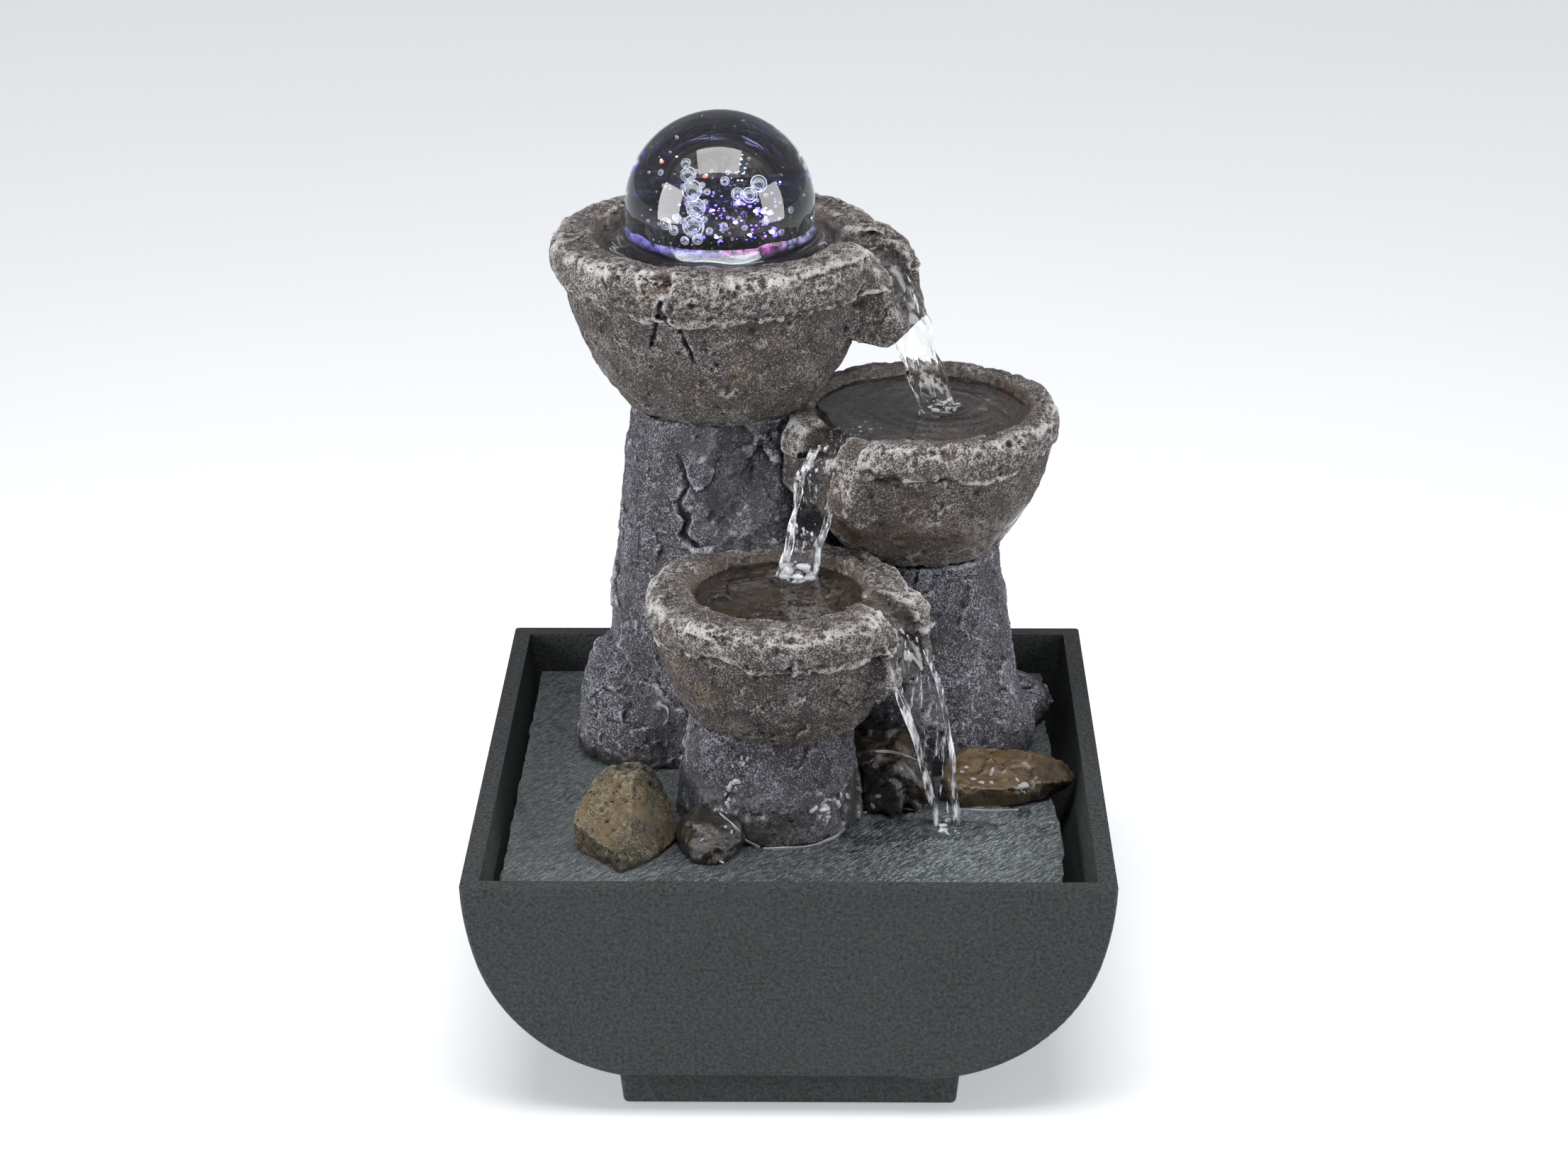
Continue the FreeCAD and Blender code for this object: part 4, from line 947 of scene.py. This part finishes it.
def beads(spots, seed):
    """Beads of water that lie on the wet stones, white as a painted glint of light on them. A spot is
    (node, centre, spread, count).
    """
    rng = np.random.default_rng(seed)
    bm = bmesh.new()
    for node, centre, spread, count in spots:
        stone_piece = bpy.data.objects[node + "_casting"]
        for _ in range(count):
            near = Vector((np.array(centre) + rng.normal(0, spread, 3)) * MM)
            _, place, normal, _ = stone_piece.closest_point_on_mesh(near)
            turn = normal.to_track_quat("Z", "Y").to_matrix().to_4x4()
            turn = turn @ Matrix.Rotation(rng.random() * 3.14, 4, "Z")
            size = 0.36 + 0.62 * rng.random() ** 2.5
            verts = sphere(bm, 3, size, (0, 0, 0), Matrix.Diagonal((1.6, 0.85, 0.36, 1)))
            local = np.array([v.co for v in verts]) / MM
            lumps = 1 + 0.45 * noise(local + rng.random() * 50, 1.1, seed)
            for vert, lump in zip(verts, lumps):
                vert.co = Matrix.Translation(place) @ turn @ (vert.co * lump)
    water_piece("water_bead_glints", mesh_from(bm, "water_bead_glints"), FOAM_AND_GLINTS)


beads([("lower_column", (-12.5, -33.9, 75.5), 1.6, 6), ("lower_column", (-14.2, -34.1, 71), 1.3, 5),
       ("lower_column", (-16.6, -34, 66), 1.2, 4), ("lower_column", (-17, -34.2, 62), 1, 4),
       ("small_stone", (-15, -40.5, 61.3), 1.2, 2), ("small_stone", (-22, -46.9, 58.5), 1.6, 1),
       ("small_stone", (-19.9, -48, 56.2), 1.8, 1), ("lower_column", (7.6, -33.3, 63), 1.1, 4),
       ("lower_column", (9, -32.6, 59.5), 1.2, 4), ("lower_column", (12.3, -29, 63.5), 1.5, 7),
       ("tall_column", (-37.2, 7.9, 61.6), 0.9, 3), ("centre_stone", (22, -19.5, 57), 3, 3),
       ("centre_stone", (28, -18.5, 60), 2.4, 2), ("brown_stone", (47.1, -10.1, 62), 1.6, 3),
       ("brown_stone", (52.6, -11.5, 61.5), 1.8, 4), ("brown_stone", (60.5, -12.8, 58.5), 1.8, 4),
       ("middle_bowl", (9.5, 3, 132), 1.4, 4)], 191)


# -------------------- crystal ball
TILT = math.radians(22.7)
MAGNIFIED = (1.2, 1.18)    # how much wider and taller the ball shows what is in it


def in_ball(across, up, depth=-0.45):
    """A place in the ball, from fractions of its radius as seen from 22.7 degrees above the front."""
    across, up = across / MAGNIFIED[0], up / MAGNIFIED[1]
    return BALL_R * np.array((across, depth * math.cos(TILT) + up * math.sin(TILT),
                              up * math.cos(TILT) - depth * math.sin(TILT)))


def bubble_list():
    """Bubbles as (centre, radius): large ones, small ones round the stack at the left, and seeds."""
    rng = np.random.default_rng(7)
    large = [(-0.34, 0.37, 0.045), (-0.31, 0.25, 0.07), (-0.27, 0.09, 0.09), (-0.23, -0.09, 0.085),
             (-0.26, -0.28, 0.1), (-0.22, -0.42, 0.05), (-0.57, -0.26, 0.055), (-0.48, -0.33, 0.045),
             (-0.43, -0.2, 0.038), (0.2, 0.05, 0.055), (0.33, 0.04, 0.07), (0.43, 0.16, 0.078),
             (0.07, 0.18, 0.04), (0.06, -0.28, 0.034), (0.84, -0.12, 0.032), (-0.63, 0.29, 0.03),
             (0.1, 0.27, 0.024), (0.51, -0.24, 0.034), (0.72, -0.37, 0.03), (-0.11, 0.07, 0.028),
             (-0.09, -0.33, 0.032), (0.28, -0.3, 0.026), (-0.36, -0.44, 0.04)]
    found = [(in_ball(u, v, -0.5), r * BALL_R) for u, v, r in large]
    for u, v, r in large[1:5]:
        for turn in (0.4, 1.7, 2.9, 4.4):
            edge = (u + 1.25 * r * math.cos(turn), v + 1.25 * r * math.sin(turn))
            found.append((in_ball(*edge, -0.62), r * BALL_R * 0.3))
    for _ in range(150):
        spot = rng.normal(0, 1, 3)
        spot *= BALL_R * 0.86 * rng.random() ** 0.45 / norm(spot)
        spot[2] = spot[2] * 0.8 - 3
        found.append((spot, 0.12 + 0.35 * rng.random() ** 3))
    return [(c, r) for c, r in found if norm(c) + r < BALL_R - 1]


def ball():
    """A glass ball whose bubbles are hollows inside it, with inward faces and a painted highlight glowing
    on their rims.
    """
    bm = bmesh.new()
    sphere(bm, 6, BALL_R, BALL)
    outer = len(bm.faces)
    for centre, radius in bubble_list():
        verts = sphere(bm, 3 if radius > 0.5 else 2, radius, BALL + centre)
        bmesh.ops.reverse_faces(bm, faces=list({f for v in verts for f in v.link_faces}))
    mesh = mesh_from(bm, "crystal_ball")
    clear = glass("ball_glass", (0.5, 0.54, 0.55), GLASS_IOR)
    obj = new_object("crystal_ball", mesh, "glass_ball", clear)
    n = Nodes("bubble_rim_highlight")
    # Painted highlight: the rims glow by how they face the camera, for the light the bubble walls
    # reflect.
    facing = n.add("ShaderNodeLayerWeight").outputs["Facing"]
    rim = n.ramp(facing, (0.45, 0.01), (0.78, 1))
    mesh.materials.append(n.finish(Base_Color=(1, 1, 1, 1), Transmission_Weight=1, IOR=GLASS_IOR,
                                   Roughness=0.03, Emission_Color=(0.84, 0.88, 1, 1),
                                   Emission_Strength=rim))
    wall = np.arange(len(mesh.polygons)) >= outer
    mesh.polygons.foreach_set("material_index", wall.astype(np.int32))
    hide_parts("glass_ball")


def glints(name, colour, spots, strength):
    """Small glowing bubbles, painted glints of the coloured lamps' light: spots are (across, up, radius)
    for in_ball.
    """
    bm = bmesh.new()
    for across, up, radius in spots:
        sphere(bm, 2, radius * BALL_R, BALL + in_ball(across, up, -0.4),
               Matrix.Diagonal((0.95, 0.8, 0.6, 1)))
    new_object(name, mesh_from(bm, name), "glass_ball", glowing(name, colour, strength))


def sparkles():
    """Painted glints of the lamps' light in the ball: white cores in blue and violet bubbles, aqua and
    red points.
    """
    rng = np.random.default_rng(11)
    cores = [(0.2, -0.03, 0.03), (0.38, -0.11, 0.026), (0.46, -0.12, 0.026), (0.53, -0.13, 0.03),
             (0.57, -0.33, 0.03), (0.32, -0.35, 0.02), (-0.02, -0.37, 0.02), (0.17, -0.22, 0.022),
             (-0.44, -0.18, 0.026), (-0.19, -0.33, 0.018), (-0.05, -0.1, 0.015), (0.65, 0.19, 0.01)]
    uniform, normal = rng.uniform, rng.normal
    halo = [(u + normal(0, 0.035), v + normal(0, 0.03), r * (0.5 + 0.5 * rng.random()))
            for u, v, r in cores for _ in range(3)]
    seeds = [(uniform(-0.1, 0.75), uniform(-0.42, 0.15), uniform(0.005, 0.012)) for _ in range(34)]
    violet = [(normal(0.2, 0.4), uniform(-0.42, 0), uniform(0.006, 0.016)) for _ in range(30)]
    aqua = [(0.22 + normal(0, 0.05), 0.27 + normal(0, 0.05), uniform(0.006, 0.014)) for _ in range(14)]
    glints("glint_white", (0.9, 0.9, 1), cores, 5)
    glints("glint_blue", (0.07, 0.04, 1), halo + seeds, 9)
    glints("glint_violet", (0.34, 0.1, 1), violet, 5)
    glints("glint_aqua", (0.35, 0.6, 1), aqua, 3)
    glints("glint_red", (1, 0.06, 0.03), [(-0.6, 0.4, 0.024), (-0.13, 0.23, 0.024)], 4)
    glints("glint_pale", (0.75, 0.8, 1),
           [(-0.61, 0.425, 0.013), (-0.12, 0.245, 0.013), (-0.43, 0.44, 0.012)], 4)


ball()
sparkles()


# -------------------- carried-over CAD nodes
KEPT = {
    "tub_plastic": plastic("tub_plastic", (0.027, 0.029, 0.0292), 0.9, 0.3, 0.62, contrast=0.95,
                           specular=0.22),
    "black_plastic": plastic("black_plastic", (0.018, 0.018, 0.02), 0.2, 0.01, 0.35),
    "pump_plastic": plastic("pump_plastic", (0.022, 0.024, 0.028), 0.3, 0.02, 0.28),
    "impeller_plastic": plastic("white_plastic", (0.55, 0.56, 0.52), 0.3, 0.01, 0.3, contrast=0.1),
    "rubber": plastic("soft_rubber", (0.02, 0.02, 0.021), 0.25, 0.02, 0.75),
    "hose": plastic("silicone_hose", (0.24, 0.26, 0.27), 0.5, 0.01, 0.4),
    "clear_plastic": glass("clear_acrylic", (0.95, 0.97, 1), 1.49, 0.03),
    "copper_winding": metal("copper_winding", (0.75, 0.32, 0.14)),
    "laminated_steel": metal("laminated_steel", (0.3, 0.3, 0.31), 0.45),
    "plated_pin": metal("plated_pin", (0.78, 0.7, 0.5), 0.25),
    "magnet": plastic("ferrite", (0.03, 0.03, 0.033), 0.4, 0.02, 0.5),
    "ceramic_shaft": plastic("ceramic", (0.8, 0.8, 0.76), 0.3, 0.005, 0.2, contrast=0.05),
    "circuit_board": plastic("circuit_board", (0.02, 0.12, 0.05), 0.6, 0.01, 0.3),
    "lamp_lens": glowing("lamp_glow", (0.5, 0.46, 1), 22)}
KEPT["lead_sheath"] = KEPT["rubber"]
for part in frame["record"]["subparts"]:
    look = KEPT.get(part["material_slot"])
    if look is not None:
        obj = frame["nodes"][part["node"]]
        obj.data.materials.clear()
        obj.data.materials.append(look)


# -------------------- floor, light and camera
def floor():
    """A pale floor that glows a little, so that it stays bright behind the object."""
    bm = bmesh.new()
    bmesh.ops.create_grid(bm, x_segments=8, y_segments=8, size=6.0)
    mesh = mesh_from(bm, "floor")
    obj = placed("floor", mesh)
    n = Nodes("pale_floor")
    cloud = n.noise(400, 2, 0.5)
    pale = n.ramp(cloud, (0.3, (0.78, 0.79, 0.8)), (0.7, (0.82, 0.83, 0.84)))
    mesh.materials.append(n.finish(Base_Color=pale, Roughness=0.6, Emission_Color=(0.95, 0.97, 1, 1),
                                   Emission_Strength=0.43))
    return obj


def softbox(name, direction, distance, size, radiance, spared=None):
    """A rectangular softbox that faces the ball from a direction, and leaves a spared object unlit."""
    data = bpy.data.lights.new(name, "AREA")
    data.shape = "RECTANGLE"
    data.size, data.size_y = size
    data.energy = radiance * math.pi * size[0] * size[1]
    obj = placed(name, data)
    aim = Vector(direction).normalized()
    obj.location = Vector(BALL * MM) + aim * distance
    obj.rotation_euler = (-aim).to_track_quat("-Z", "Y").to_euler()
    obj.visible_camera = False
    if spared is not None:
        lit = bpy.data.collections.new(name + "_lights")
        lit.objects.link(spared)
        obj.light_linking.receiver_collection = lit
        lit.collection_objects[0].light_linking.link_state = "EXCLUDE"


def world():
    """Dim, cool light from all round."""
    data = bpy.data.worlds.new("studio")
    scene.world = data
    data.use_nodes = True
    sky = data.node_tree.nodes["Background"].inputs
    sky["Color"].default_value = (0.92, 0.95, 1, 1)
    sky["Strength"].default_value = 0.3


def camera():
    """The camera of the photograph's view: 0.9 m away, looking 22.7 degrees down."""
    data = bpy.data.cameras.new("camera")
    data.sensor_width, data.lens = 36, 80.3
    data.clip_start, data.clip_end = 0.05, 30
    obj = placed("camera", data)
    pitch, yaw, roll = math.radians(22.67), math.radians(-1.07), math.radians(-0.35)
    forward = Vector((math.sin(yaw) * math.cos(pitch), math.cos(yaw) * math.cos(pitch),
                      -math.sin(pitch)))
    level = Vector((math.cos(yaw), -math.sin(yaw), 0))
    over = level.cross(forward)
    right = math.cos(roll) * level + math.sin(roll) * over
    up = math.cos(roll) * over - math.sin(roll) * level
    turn = Matrix((right, up, -forward)).transposed().to_4x4()
    obj.matrix_world = Matrix.Translation((0.0135, -0.8313, 0.457)) @ turn
    scene.camera = obj


ground = floor()
softbox("softbox_top", (0, -0.31, 0.95), 0.75, (0.62, 0.46), 8.5)
softbox("softbox_left", (-0.875, -0.465, 0.16), 0.75, (0.4, 0.5), 11, ground)
softbox("softbox_right", (0.927, -0.36, 0.14), 0.75, (0.4, 0.5), 8.2, ground)
world()
camera()
scene.view_settings.view_transform = "Standard"
